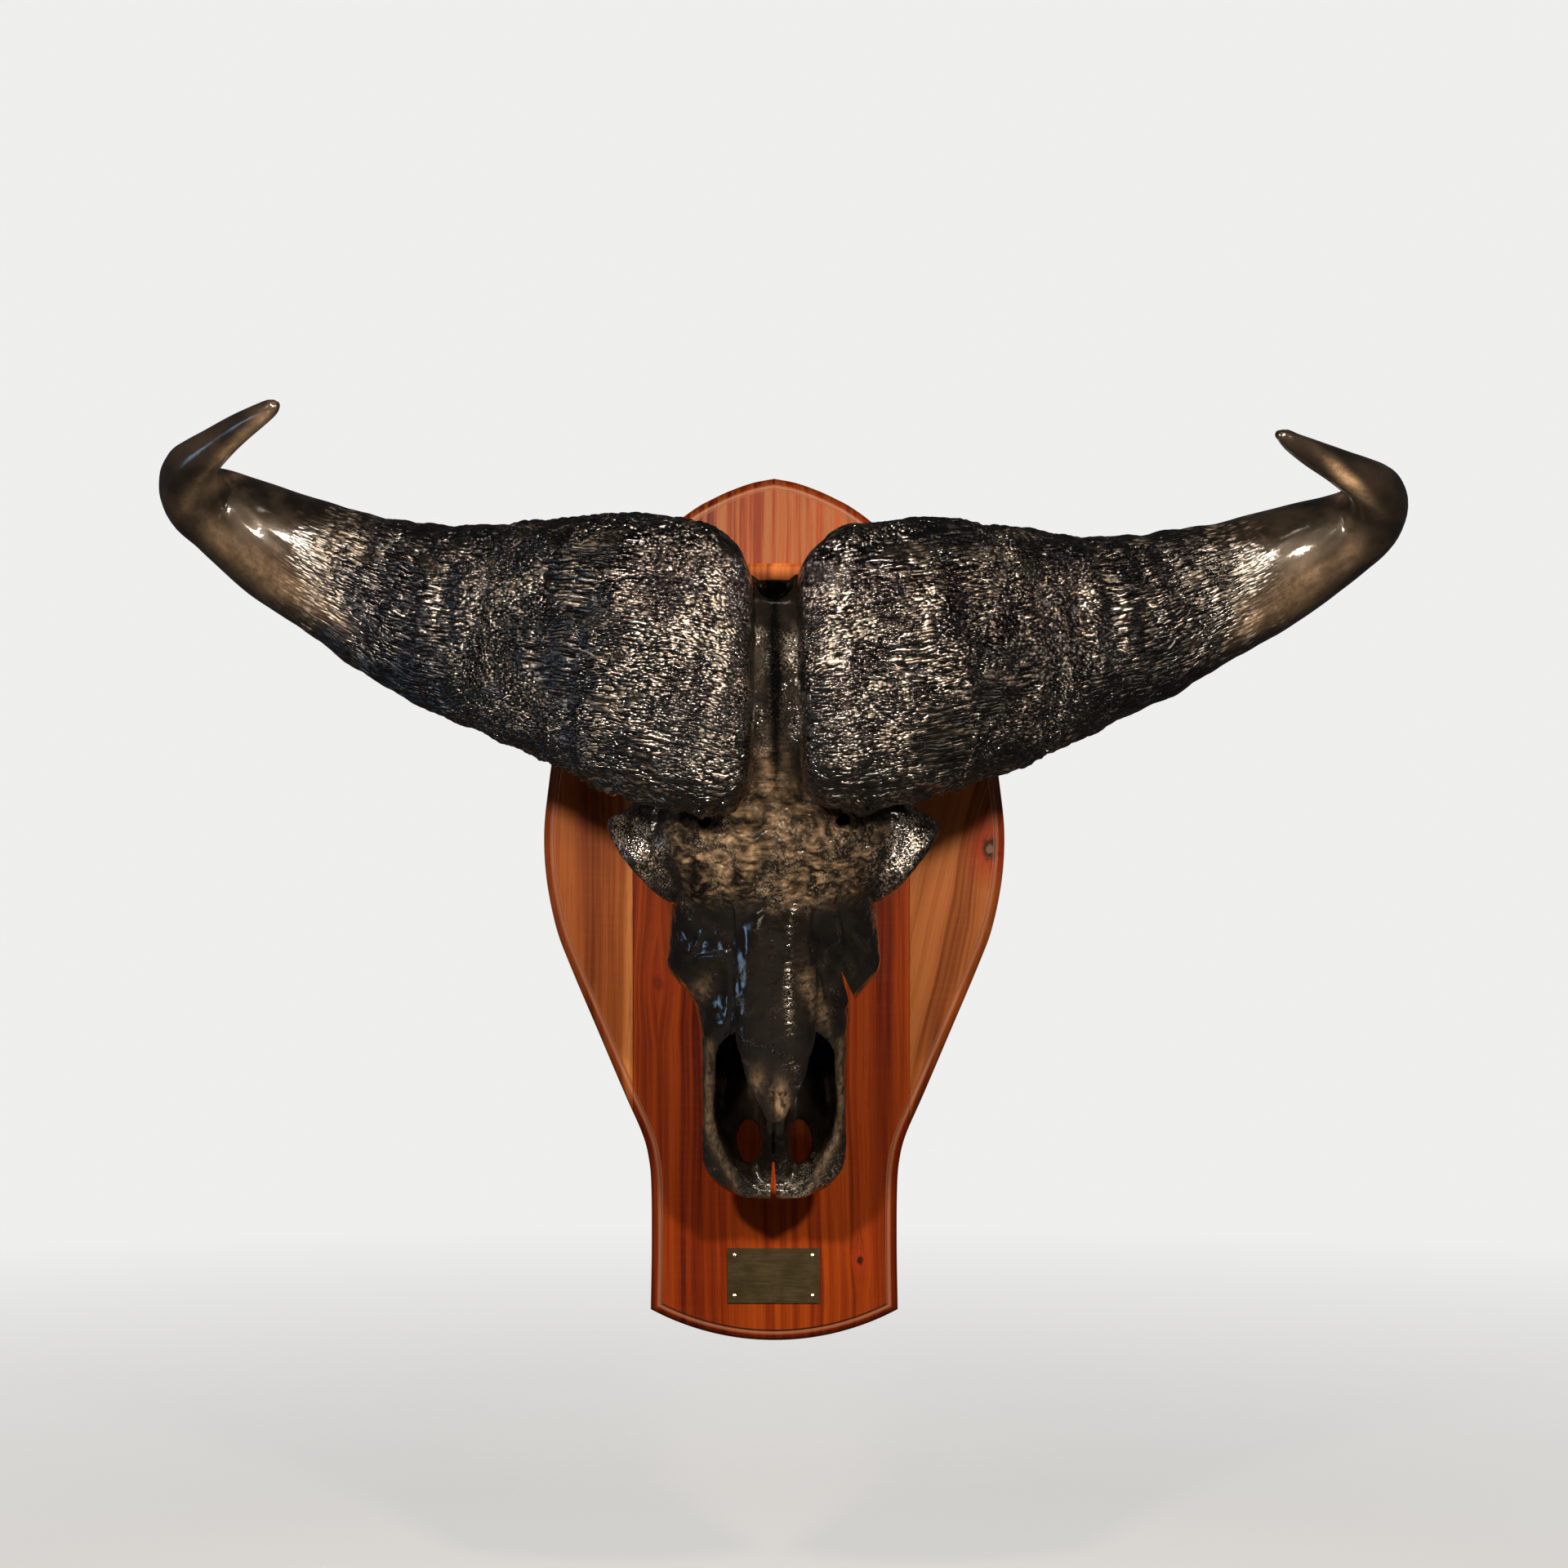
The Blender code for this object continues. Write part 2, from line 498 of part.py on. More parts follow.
def stretch(thing, middle, size):
    thing.data.transform(Matrix.Translation(middle) @ Matrix.Diagonal((*size, 1.0))
                         @ Matrix.Translation(-middle))


def molar_pieces(side, collection):
    """The upper row of cheek teeth, each tooth a crown with a waist between it and the next."""
    width, along = MOLAR_SIZE
    teeth = []
    for k in range(MOLAR_COUNT):
        z = MOLAR_FIRST_Z + k * MOLAR_PITCH
        x = MOLAR_X - MOLAR_ROW_BOW * abs(k - MOLAR_COUNT // 2)
        middle = at(side * x, (MOLAR_TIP_OUT + MOLAR_ROOT_OUT) / 2.0, z)
        tooth = rod("molar", middle, (0.0, 1.0, 0.0), MOLAR_RADII[0], MOLAR_RADII[1],
                    MOLAR_ROOT_OUT - MOLAR_TIP_OUT, collection, 12)
        stretch(tooth, middle, (width, 1.0, along))
        teeth.append(tooth)
    return teeth


def skull_cutters(collection):
    """Openings that go through the fused skull."""
    cutters = [socket_cutter(side, collection) for side in (-1, 1)]
    for side in (-1, 1):
        middle = at(side * FISSURE_X, FISSURE_OUT, FISSURE_Z)
        fissure = rod("fissure", middle, (0.0, 1.0, 0.0), 1.0, 1.0, PALATE_CUT, collection)
        stretch(fissure, middle, (FISSURE_HALF_WIDTH, 1.0, FISSURE_HALF_HEIGHT))
        cutters.append(fissure)
        middle = at(side * SUPRAORBITAL_X, SUPRAORBITAL_OUT, SUPRAORBITAL_Z)
        cutters.append(rod("supraorbital", middle, (0.0, 1.0, 0.25), SUPRAORBITAL_RADIUS,
                           SUPRAORBITAL_RADIUS, SUPRAORBITAL_DEPTH, collection, 12))
    gap = PREMAXILLA_GAP_HALF_WIDTH
    nearest, furthest, bottom = PREMAXILLA_GAP_BOX
    cutters.append(box("premaxilla_gap", at(-gap, nearest, bottom),
                       at(gap, furthest, PREMAXILLA_GAP_TOP_Z), collection))
    cutters.append(rod("foramen", at(0.0, FORAMEN_OUT, FORAMEN_Z), (0.0, 0.25, 1.0), FORAMEN_RADIUS,
                       FORAMEN_RADIUS, FORAMEN_DEPTH, collection, 20))
    return cutters


def make_skull(parts, guides):
    cranium = level_stack("cranium", CRANIUM, 34, guides)
    face = level_stack("face", FACE, 44, guides)
    cavity = level_stack("nasal_cavity", NASAL_CAVITY, 26, guides)
    block = fuse("skull_block", [cranium, face], COARSE_VOXEL, guides)
    cut(block, [cavity])
    pieces = [block, level_stack("nasals", NASALS, 26, guides), level_stack("septum", SEPTUM, 16, guides)]
    forward = Vector((0.0, -1.0, 0.0))
    up = Vector((0.0, 0.0, 1.0))
    for side in (-1, 1):
        pieces += orbit_pieces(side, guides)
        pieces += molar_pieces(side, guides)
        pieces.append(bar("arch", ARCH, side, guides, forward))
        pieces.append(bar("process", PROCESS, side, guides, up))
        pieces.append(bar("pterygoid", PTERYGOID, side, guides, forward))
        x, out, z = CONDYLE
        pieces.append(ellipsoid("condyle", at(side * x, out, z), CONDYLE_SIZE, guides))
    skull = fuse("skull", pieces, COARSE_VOXEL, parts)
    cut(skull, skull_cutters(guides))
    skull.data.validate()
    skull.data.calc_loop_triangles()
    thin = skull.modifiers.new("thin", 'DECIMATE')
    thin.ratio = SKULL_TRIANGLES / len(skull.data.loop_triangles)
    thin.use_collapse_triangulate = True
    settle(skull)
    for piece in pieces + [cranium, face]:
        hide_guide(piece)
    return skull


# Board and pedestal

def board_outline():
    """Points round the whole board, clockwise from the apex as the viewer sees it."""
    corner_x, corner_z = BOARD_HALF_OUTLINE[-1]
    rise = corner_z - BOARD_FOOT_Z
    radius = (corner_x ** 2 + rise ** 2) / (2.0 * rise)
    half_angle = math.asin(corner_x / radius)
    foot = []
    for k in range(1, BOARD_FOOT_STEPS):
        angle = half_angle * (1.0 - 2.0 * k / BOARD_FOOT_STEPS)
        foot.append((radius * math.sin(angle), BOARD_FOOT_Z + radius * (1.0 - math.cos(angle))))
    right = list(BOARD_HALF_OUTLINE)
    left = [(-x, z) for x, z in reversed(BOARD_HALF_OUTLINE[1:])]
    return np.array(right + foot + left)


def inset(outline, distance):
    """The outline moved inwards by a distance, with mitred corners."""
    before = outline - np.roll(outline, 1, axis=0)
    after = np.roll(outline, -1, axis=0) - outline
    normals = []
    for edge in (before, after):
        unit = edge / np.linalg.norm(edge, axis=1)[:, None]
        normals.append(np.stack([-unit[:, 1], unit[:, 0]], axis=1))
    total = normals[0] + normals[1]
    mitre = total / (1.0 + np.sum(normals[0] * normals[1], axis=1))[:, None]
    return outline - distance * mitre


def make_boards(materials, parts, guides):
    outline = board_outline()
    layers = [(0.0, 0.0), (0.0, -(BOARD_THICKNESS - MOULDING_STEP - OVOLO_DROP))]
    band = MOULDING_WIDTH - MOULDING_STEP
    for k in range(1, OVOLO_STEPS + 1):
        angle = 0.5 * math.pi * k / OVOLO_STEPS
        layers.append((band * (1.0 - math.cos(angle)),
                       layers[1][1] - OVOLO_DROP * math.sin(angle)))
    layers.append((MOULDING_WIDTH - MOULDING_STEP * 0.5, -(BOARD_THICKNESS - MOULDING_STEP)))
    layers.append((MOULDING_WIDTH, -BOARD_THICKNESS))
    rings = [[Vector((x, y, z)) for x, z in inset(outline, distance)] for distance, y in layers]
    blank = hide_guide(loft("board_blank", rings, guides))
    spans = {"board_left": (-0.25, LEFT_SEAM_X - GAP / 2.0), "board_right": (RIGHT_SEAM_X + GAP / 2.0, 0.25),
             "board_centre": (LEFT_SEAM_X + GAP / 2.0, RIGHT_SEAM_X - GAP / 2.0)}
    boards = {}
    for name, (low, high) in spans.items():
        plank = add_object(name, blank.data.copy(), parts)
        slab = box(name + "_span", (low, -0.050, -0.400), (high, 0.010, 0.400), guides)
        cut(plank, [slab], 'INTERSECT')
        finish = "red_kiaat" if name == "board_centre" else "pale_kiaat"
        plank.data.materials.clear()
        plank.data.materials.append(materials[finish])
        boards[name] = plank
    return boards


def make_pedestal(materials, parts, guides):
    half = PEDESTAL_WIDTH / 2.0
    pedestal = box("pedestal", at(-half, GAP, PEDESTAL_BOTTOM_Z), at(half, PEDESTAL_OUT, PEDESTAL_TOP_Z),
                   parts)
    edge = pedestal.modifiers.new("chamfer", 'BEVEL')
    edge.width = PEDESTAL_CHAMFER
    edge.segments = 1
    settle(pedestal)
    pedestal.data.materials.append(materials["red_kiaat"])
    return pedestal


# Hardware

def make_bolts(materials, parts, guides):
    """Hexagon bolts and washers in counterbores; returns the holes to cut for them."""
    board_holes, pedestal_holes, skull_holes = [], [], []
    back_to_front = (0.0, -1.0, 0.0)
    seat_y = -COUNTERBORE_DEPTH
    tip_y = at(0.0, BOLT_REACH_OUT, 0.0).y
    for name, z in BOLT_HEIGHTS.items():
        washer = rod(name.replace("bolt", "washer"), (0.0, seat_y + GAP + WASHER_THICKNESS / 2.0, z),
                     back_to_front, WASHER_RADIUS, WASHER_RADIUS, WASHER_THICKNESS, parts, ROUND_SIDES)
        bore = rod(name + "_washer_bore", (0.0, seat_y, z), back_to_front, BOLT_RADIUS + GAP,
                   BOLT_RADIUS + GAP, 0.020, guides, HOLE_SIDES)
        cut(washer, [bore])
        head_y = seat_y + GAP + WASHER_THICKNESS + GAP
        shank_length = head_y + BOLT_HEAD_HEIGHT / 2.0 - tip_y
        bolt = rod(name, (0.0, tip_y + shank_length / 2.0, z), back_to_front, BOLT_RADIUS, BOLT_RADIUS,
                   shank_length, parts, HOLE_SIDES)
        head_radius = BOLT_HEAD_ACROSS / math.sqrt(3.0)
        head = rod(name + "_head", (0.0, head_y + BOLT_HEAD_HEIGHT / 2.0, z), back_to_front,
                   head_radius, head_radius, BOLT_HEAD_HEIGHT, guides, 6)
        cut(bolt, [head], 'UNION')
        for thing in (washer, bolt):
            thing.data.materials.clear()
            thing.data.materials.append(materials["zinc_steel"])
        board_holes.append(rod(name + "_counterbore", (0.0, 0.005 - COUNTERBORE_DEPTH / 2.0, z),
                               back_to_front, COUNTERBORE_RADIUS, COUNTERBORE_RADIUS,
                               COUNTERBORE_DEPTH + 0.010, guides, ROUND_SIDES))
        clearance = BOLT_RADIUS + GAP
        board_holes.append(rod(name + "_board_hole", (0.0, -0.015, z), back_to_front, clearance,
                               clearance, 0.040, guides, HOLE_SIDES))
        pedestal_holes.append(rod(name + "_pedestal_hole", at(0.0, PEDESTAL_OUT / 2.0, z),
                                  back_to_front, clearance, clearance, PEDESTAL_OUT + 0.020, guides,
                                  HOLE_SIDES))
        depth = BOLT_REACH_OUT + 0.002 - PEDESTAL_OUT + 0.020
        skull_holes.append(rod(name + "_skull_hole", at(0.0, BOLT_REACH_OUT + 0.002 - depth / 2.0, z),
                               back_to_front, clearance, clearance, depth, guides, HOLE_SIDES))
    return board_holes, pedestal_holes, skull_holes


def make_hanger(materials, parts, guides):
    """Bent clip and its two screws; returns the recess and pilot holes to cut in the board."""
    floor = -RECESS_DEPTH
    top = HANGER_Z + HANGER_UPPER
    sheet = HANGER_SHEET
    inner = floor + GAP
    tongue_top = HANGER_Z - HANGER_JOGGLE
    tongue_bottom = tongue_top - HANGER_TONGUE
    bend = sheet * 0.7              # how much higher the outer face bends than the inner one
    profile = [
        (inner, top), (inner, HANGER_Z), (floor + HANGER_OFFSET - sheet, tongue_top),
        (floor + HANGER_OFFSET - sheet, tongue_bottom), (floor + HANGER_OFFSET, tongue_bottom),
        (floor + HANGER_OFFSET, tongue_top + bend), (inner + sheet, HANGER_Z + bend),
        (inner + sheet, top)]
    ends = [[Vector((x, y, z)) for y, z in profile] for x in (-HANGER_WIDTH / 2.0, HANGER_WIDTH / 2.0)]
    shape = bmesh.new()
    loops = [[shape.verts.new(point) for point in end] for end in ends]
    shape.faces.new(loops[0])
    shape.faces.new(loops[1])
    count = len(profile)
    for k in range(count):
        following = (k + 1) % count
        shape.faces.new((loops[0][k], loops[0][following], loops[1][following], loops[1][k]))
    clip = add_object("hanger_clip", mesh_from_bmesh("hanger_clip", shape), parts)
    half = HANGER_WIDTH / 2.0 + RECESS_MARGIN
    board_holes = [box("recess", (-half, floor, tongue_bottom - RECESS_DROP),
                       (half, 0.010, top + RECESS_MARGIN), guides)]
    screw_z = HANGER_Z + HANGER_UPPER / 2.0
    for side, word in ((-1, "left"), (1, "right")):
        x = side * HANGER_SCREW_X
        shank_start = inner + sheet + GAP
        hole = rod("clip_hole_" + word, (x, inner, screw_z), (0.0, 1.0, 0.0),
                   HANGER_SCREW_RADIUS + GAP, HANGER_SCREW_RADIUS + GAP, 0.020, guides, HOLE_SIDES)
        cut(clip, [hole])
        name = "hanger_screw_" + word
        screw = rod(name, (x, shank_start + 0.0005 - HANGER_SCREW_LENGTH / 2.0, screw_z),
                    (0.0, -1.0, 0.0), HANGER_SCREW_RADIUS, HANGER_SCREW_RADIUS * 0.5,
                    HANGER_SCREW_LENGTH + 0.001, parts, HOLE_SIDES)
        head = rod(name + "_head", (x, shank_start + HANGER_SCREW_HEAD / 2.0, screw_z),
                   (0.0, -1.0, 0.0), HANGER_SCREW_HEAD_RADIUS * 0.8, HANGER_SCREW_HEAD_RADIUS,
                   HANGER_SCREW_HEAD, guides, HOLE_SIDES)
        cut(screw, [head], 'UNION')
        screw.data.materials.clear()
        screw.data.materials.append(materials["zinc_steel"])
        board_holes.append(rod(name + "_pilot", (x, -HANGER_SCREW_LENGTH / 2.0, screw_z),
                               (0.0, -1.0, 0.0), HANGER_SCREW_RADIUS + GAP, HANGER_SCREW_RADIUS + GAP,
                               HANGER_SCREW_LENGTH + 0.012, guides, HOLE_SIDES))
    clip.data.materials.clear()
    clip.data.materials.append(materials["zinc_steel"])
    return board_holes


def make_nameplate(materials, parts, guides):
    """Bare brass plate with a pin in each corner; returns the pin holes to cut in the board."""
    half_w, half_h = PLATE_WIDTH / 2.0, PLATE_HEIGHT / 2.0
    plate = box("nameplate", at(PLATE_X - half_w, GAP, PLATE_Z - half_h),
                at(PLATE_X + half_w, GAP + PLATE_THICKNESS, PLATE_Z + half_h), parts)
    board_holes = []
    face = GAP + PLATE_THICKNESS
    corners = [(-1, 1), (1, 1), (-1, -1), (1, -1)]
    for k, (across, up) in enumerate(corners):
        x = PLATE_X + across * (half_w - PLATE_PIN_INSET)
        z = PLATE_Z + up * (half_h - PLATE_PIN_INSET)
        name = "nameplate_pin_%d" % (k + 1)
        pin = ellipsoid(name, at(x, face + GAP, z),
                        (PIN_HEAD_RADIUS, PIN_HEAD_HEIGHT, PIN_HEAD_RADIUS), parts, HOLE_SIDES)
        under = box(name + "_flat", at(x - 0.01, face + GAP, z - 0.01), at(x + 0.01, -0.01, z + 0.01),
                    guides)
        cut(pin, [under])
        shank = rod(name + "_shank", at(x, face + 2.0 * GAP - PIN_SHANK_LENGTH / 2.0, z),
                    (0.0, -1.0, 0.0), PIN_SHANK_RADIUS, PIN_SHANK_RADIUS, PIN_SHANK_LENGTH, guides,
                    PIN_SIDES)
        cut(pin, [shank], 'UNION')
        hole = rod(name + "_hole", at(x, face - PIN_SHANK_LENGTH / 2.0, z), (0.0, -1.0, 0.0),
                   PIN_SHANK_RADIUS + GAP, PIN_SHANK_RADIUS + GAP, PIN_SHANK_LENGTH + 0.004, guides,
                   PIN_SIDES)
        cut(plate, [hole])
        board_holes.append(hole)
        pin.data.materials.clear()
        pin.data.materials.append(materials["brass"])
    plate.data.materials.clear()
    plate.data.materials.append(materials["aged_brass"])
    return board_holes


def main():
    clear_scene()
    parts = make_collection(COLLECTION_NAME)
    guides = make_collection("guides")
    materials = make_materials()

    boards = make_boards(materials, parts, guides)
    pedestal = make_pedestal(materials, parts, guides)
    bolt_board_holes, bolt_pedestal_holes, bolt_skull_holes = make_bolts(materials, parts, guides)
    hanger_holes = make_hanger(materials, parts, guides)
    pin_holes = make_nameplate(materials, parts, guides)
    cut(boards["board_centre"], bolt_board_holes + hanger_holes + pin_holes)
    cut(pedestal, bolt_pedestal_holes)

    skull = make_skull(parts, guides)
    half = PEDESTAL_WIDTH / 2.0 + GAP
    pedestal_room = box("pedestal_room", at(-half, -0.010, PEDESTAL_BOTTOM_Z - GAP),
                        at(half, PEDESTAL_OUT + GAP, PEDESTAL_TOP_Z + 0.020), guides)
    horns = [make_horn("horn_left", HORN_LEFT, parts), make_horn("horn_right", HORN_RIGHT, parts)]
    horn_rooms = [horn_room(horn, guides) for horn in horns]
    cut(skull, [pedestal_room] + horn_rooms + bolt_skull_holes)
    for thing in [skull] + horns:
        thing.data.materials.clear()
        thing.data.materials.append(materials["dark_bronze_lacquer"])
        thing.data.shade_smooth()
        thing.data.set_sharp_from_angle(angle=math.radians(60.0))


main()
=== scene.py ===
import math
import bmesh
import bpy
import numpy as np
from mathutils import Matrix, Vector


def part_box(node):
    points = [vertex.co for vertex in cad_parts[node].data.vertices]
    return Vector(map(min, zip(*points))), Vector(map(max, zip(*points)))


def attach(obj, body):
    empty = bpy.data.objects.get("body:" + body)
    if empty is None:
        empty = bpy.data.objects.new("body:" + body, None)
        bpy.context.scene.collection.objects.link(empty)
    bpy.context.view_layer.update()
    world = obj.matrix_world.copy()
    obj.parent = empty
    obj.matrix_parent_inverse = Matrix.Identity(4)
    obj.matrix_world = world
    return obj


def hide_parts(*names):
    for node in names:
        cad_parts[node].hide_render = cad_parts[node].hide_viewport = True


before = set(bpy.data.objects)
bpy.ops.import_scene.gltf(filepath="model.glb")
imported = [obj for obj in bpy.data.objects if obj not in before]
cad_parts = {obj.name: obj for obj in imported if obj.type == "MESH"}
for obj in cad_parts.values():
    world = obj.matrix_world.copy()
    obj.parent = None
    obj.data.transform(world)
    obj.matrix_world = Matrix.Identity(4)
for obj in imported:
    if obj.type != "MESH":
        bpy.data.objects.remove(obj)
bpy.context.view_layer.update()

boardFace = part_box("board_centre")[0].y         # the board's front; "out" is a distance in front of it
print("frame loaded:", len(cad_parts), "solids")

parts = bpy.data.collections.new("buffalo skull mount")
bpy.context.scene.collection.children.link(parts)


# Shared maths

# Catmull-Rom through a table's rows a b c d, at share t between b and c:
# 0.5 * (2b + (c-a)t + (2a-5b+4c-d)t^2 + (3b-a-3c+d)t^3)
def smoothRows(rows, places):
    table = np.array(rows, dtype=float)
    padded = np.vstack([2.0 * table[0] - table[1], table, 2.0 * table[-1] - table[-2]])
    index = np.minimum(places.astype(int), len(table) - 2)
    share = (places - index)[:, None]
    a, b, c, d = (padded[index + k] for k in range(4))
    return 0.5 * (2.0 * b + (c - a) * share + (2.0 * a - 5.0 * b + 4.0 * c - d) * share ** 2
                  + (3.0 * b - a - 3.0 * c + d) * share ** 3)


def unit(vectors):
    return vectors / np.maximum(np.linalg.norm(vectors, axis=-1, keepdims=True), 1e-12)


def xyz(x, y, z):
    return np.stack(np.broadcast_arrays(x, y, z), axis=-1)


# even angles round a full turn
def turnAngles(count):
    return np.arange(count) * 2.0 * math.pi / count


def clamped(values):
    return np.clip(values, 0.0, 1.0)


# 0 below low, 1 above high, 3t^2 - 2t^3 between
def smoothStep(value, low, high):
    share = clamped((value - low) / (high - low))
    return share * share * (3.0 - 2.0 * share)


# 1 below low, 0 above high
def stepDown(value, low, high):
    return 1.0 - smoothStep(value, low, high)


# gradient noise, about -0.7 to 0.7: each corner of a unit lattice has a random arrow, and the value is
# the blend, by 6t^5 - 15t^4 + 10t^3, of the eight products of arrow and offset
def noise(points, seed):
    chance = np.random.default_rng(seed)
    order = chance.permutation(256)
    arrows = unit(chance.normal(size=(256, 3)))
    cell = np.floor(points).astype(int)
    offset = points - cell
    ease = offset ** 3 * (offset * (offset * 6.0 - 15.0) + 10.0)
    total = np.zeros(points.shape[:-1])
    for corner in np.ndindex(2, 2, 2):
        spot = cell + corner
        pick = order[(order[(order[spot[..., 0] & 255] + spot[..., 1]) & 255] + spot[..., 2]) & 255]
        weight = np.prod(np.where(corner, ease, 1.0 - ease), axis=-1)
        total += weight * np.sum(arrows[pick] * (offset - corner), axis=-1)
    return total


# sum of octaves, each half as tall and twice as fine
def roughNoise(points, seed, octaves):
    return sum(noise(points * 2.0 ** k, seed + k) / 2.0 ** k for k in range(octaves))


# pebbles: each unit cell holds one random point; the value is ((second nearest - nearest) / 0.55)^0.6,
# which is 0 on the borders between cells and 1 on top of each pebble
def pebbles(points, seed):
    chance = np.random.default_rng(seed)
    order = chance.permutation(256)
    scatter = chance.random((256, 3))
    cell = np.floor(points).astype(int)
    nearest = np.full(points.shape[:-1], 9.0)
    second = nearest.copy()
    for corner in np.ndindex(3, 3, 3):
        spot = cell + corner - 1
        pick = order[(order[(order[spot[..., 0] & 255] + spot[..., 1]) & 255] + spot[..., 2]) & 255]
        gap = np.linalg.norm(spot + scatter[pick] - points, axis=-1)
        second = np.minimum(second, np.maximum(nearest, gap))
        nearest = np.minimum(nearest, gap)
    return np.clip((second - nearest) / 0.55, 0.0, 1.0) ** 0.6


# distance from points of the front view to a line of (x, z) points, and the length along it
def pathDistance(x, z, path):
    best = np.full(x.shape, 1e9)
    along = np.zeros(x.shape)
    start = 0.0
    for (ax, az), (bx, bz) in zip(path, path[1:]):
        length = math.hypot(bx - ax, bz - az)
        share = np.clip(((x - ax) * (bx - ax) + (z - az) * (bz - az)) / length ** 2, 0.0, 1.0)
        gap = np.hypot(x - ax - share * (bx - ax), z - az - share * (bz - az))
        along = np.where(gap < best, start + share * length, along)
        best = np.minimum(best, gap)
        start += length
    return best, along


beadWaver = {"phase": 1.9, "phaseRate": 640.0, "mean": 0.72, "height": 0.28, "heightRate": 930.0}


# ridges and grooves: height * exp(-(distance / width)^2), with beads as a cosine along the line, whose phase
# and height waver as sines
def lineRelief(x, z, lines):
    total = np.zeros(x.shape)
    waver = beadWaver
    for path, width, height, pitch in lines:
        gap, along = pathDistance(x, z, path)
        beads = 1.0
        if pitch:
            phase = 2.0 * math.pi * along / pitch + waver["phase"] * np.sin(waver["phaseRate"] * along)
            beads = ((0.5 + 0.5 * np.cos(phase))
                     * (waver["mean"] + waver["height"] * np.sin(waver["heightRate"] * along)))
        total += height * beads * np.exp(-(gap / width) ** 2)
    return total


# mounds and hollows: height * exp(-(a / halfLength)^2 - (b / halfWidth)^2), turned by an angle in degrees
def moundRelief(x, z, mounds):
    total = np.zeros(x.shape)
    for atX, atZ, halfLength, halfWidth, turn, height in mounds:
        cosine, sine = math.cos(math.radians(turn)), math.sin(math.radians(turn))
        a = (x - atX) * cosine + (z - atZ) * sine
        b = (z - atZ) * cosine - (x - atX) * sine
        total += height * np.exp(-(a / halfLength) ** 2 - (b / halfWidth) ** 2)
    return total


# the same mounds as shares from 0 to 1
def patches(x, z, mounds):
    return clamped(moundRelief(x, z, mounds))


# x and z as in the frame, out as the distance in front of the board
def place(x, out, z):
    return xyz(x, boardFace - np.asarray(out), z)


# Shared mesh making

def addPiece(name, mesh, home=None):
    piece = bpy.data.objects.new(name, mesh)
    (home or parts).objects.link(piece)
    return piece


def meshNumbers(mesh):
    mesh.calc_loop_triangles()
    points = np.empty(len(mesh.vertices) * 3)
    mesh.vertices.foreach_get("co", points)
    corners = np.empty(len(mesh.loop_triangles) * 3, dtype=np.int32)
    mesh.loop_triangles.foreach_get("vertices", corners)
    return points.reshape(-1, 3), corners.reshape(-1, 3)


def faceOutwards(mesh):
    points, corners = meshNumbers(mesh)
    a, b, c = (points[corners[:, k]] for k in range(3))
    if np.sum(a * np.cross(b, c)) < 0.0:
        mesh.flip_normals()
    return mesh


# the four-sided faces between neighbouring rings
def ringFaces(index):
    beside = np.roll(index, -1, axis=1)
    return np.stack([index[:-1], beside[:-1], beside[1:], index[1:]], axis=-1).reshape(-1, 4).tolist()


# a grid of rings wrapped round its second parameter, its ends closed by a fan to the ring's middle
def gridMesh(name, rings):
    count, around = rings.shape[:2]
    index = np.arange(count * around).reshape(count, around)
    points = np.vstack([rings.reshape(-1, 3), rings[0].mean(axis=0), rings[-1].mean(axis=0)])
    first, last = index[0], index[-1]
    faces = ringFaces(index)
    faces += np.stack([np.roll(first, -1), first, np.full(around, count * around)], axis=-1).tolist()
    faces += np.stack([last, np.roll(last, -1), np.full(around, count * around + 1)], axis=-1).tolist()
    mesh = bpy.data.meshes.new(name)
    mesh.from_pydata(points.tolist(), [], faces)
    return faceOutwards(mesh)


# a profile of (radius, height) pairs turned round an axis
def turnedRings(profile, centre, axis, around):
    turn = np.array(Vector(axis).to_track_quat('Z', 'Y').to_matrix())
    angle = turnAngles(around)
    table = np.array(profile, dtype=float)
    radius, height = table[:, 0, None], table[:, 1, None]
    local = xyz(radius * np.cos(angle), radius * np.sin(angle), height)
    return local @ turn.T + np.array(centre)


# section of power p: the unit circle's point divided by (|cos|^p + |sin|^p)^(1/p)
def roundedSection(angle, power):
    cosine, sine = np.cos(angle), np.sin(angle)
    return (np.abs(cosine) ** power + np.abs(sine) ** power) ** (-1.0 / power)


def meshFrom(shape, name):
    mesh = bpy.data.meshes.new(name)
    shape.to_mesh(mesh)
    shape.free()
    return mesh


def joinMeshes(name, meshes):
    shape = bmesh.new()
    for mesh in meshes:
        shape.from_mesh(mesh)
    return meshFrom(shape, name)


# the modifiers' result becomes the piece's own mesh
def settle(piece):
    seen = piece.evaluated_get(bpy.context.evaluated_depsgraph_get())
    mesh = bpy.data.meshes.new_from_object(seen)
    piece.modifiers.clear()
    piece.data = mesh
    return piece


# overlapping solids grown together in one skin
def fuse(piece, voxel, softenings):
    skin = piece.modifiers.new("skin", 'REMESH')
    skin.mode = 'VOXEL'
    skin.voxel_size = voxel
    soften = piece.modifiers.new("soften", 'SMOOTH')
    soften.factor = 0.5
    soften.iterations = softenings
    return settle(piece)


def cutAway(piece, cutterMesh):
    cutter = addPiece(cutterMesh.name, cutterMesh)
    knife = piece.modifiers.new("cut", 'BOOLEAN')
    knife.operation = 'DIFFERENCE'
    knife.solver = 'EXACT'
    knife.object = cutter
    settle(piece)
    bpy.data.objects.remove(cutter, do_unlink=True)
    return piece


def boxMesh(name, low, high):
    low, high = Vector(low), Vector(high)
    shape = bmesh.new()
    bmesh.ops.create_cube(shape, size=1.0, matrix=Matrix.Translation((low + high) / 2.0)
                          @ Matrix.Diagonal((*(high - low), 1.0)))
    return meshFrom(shape, name)


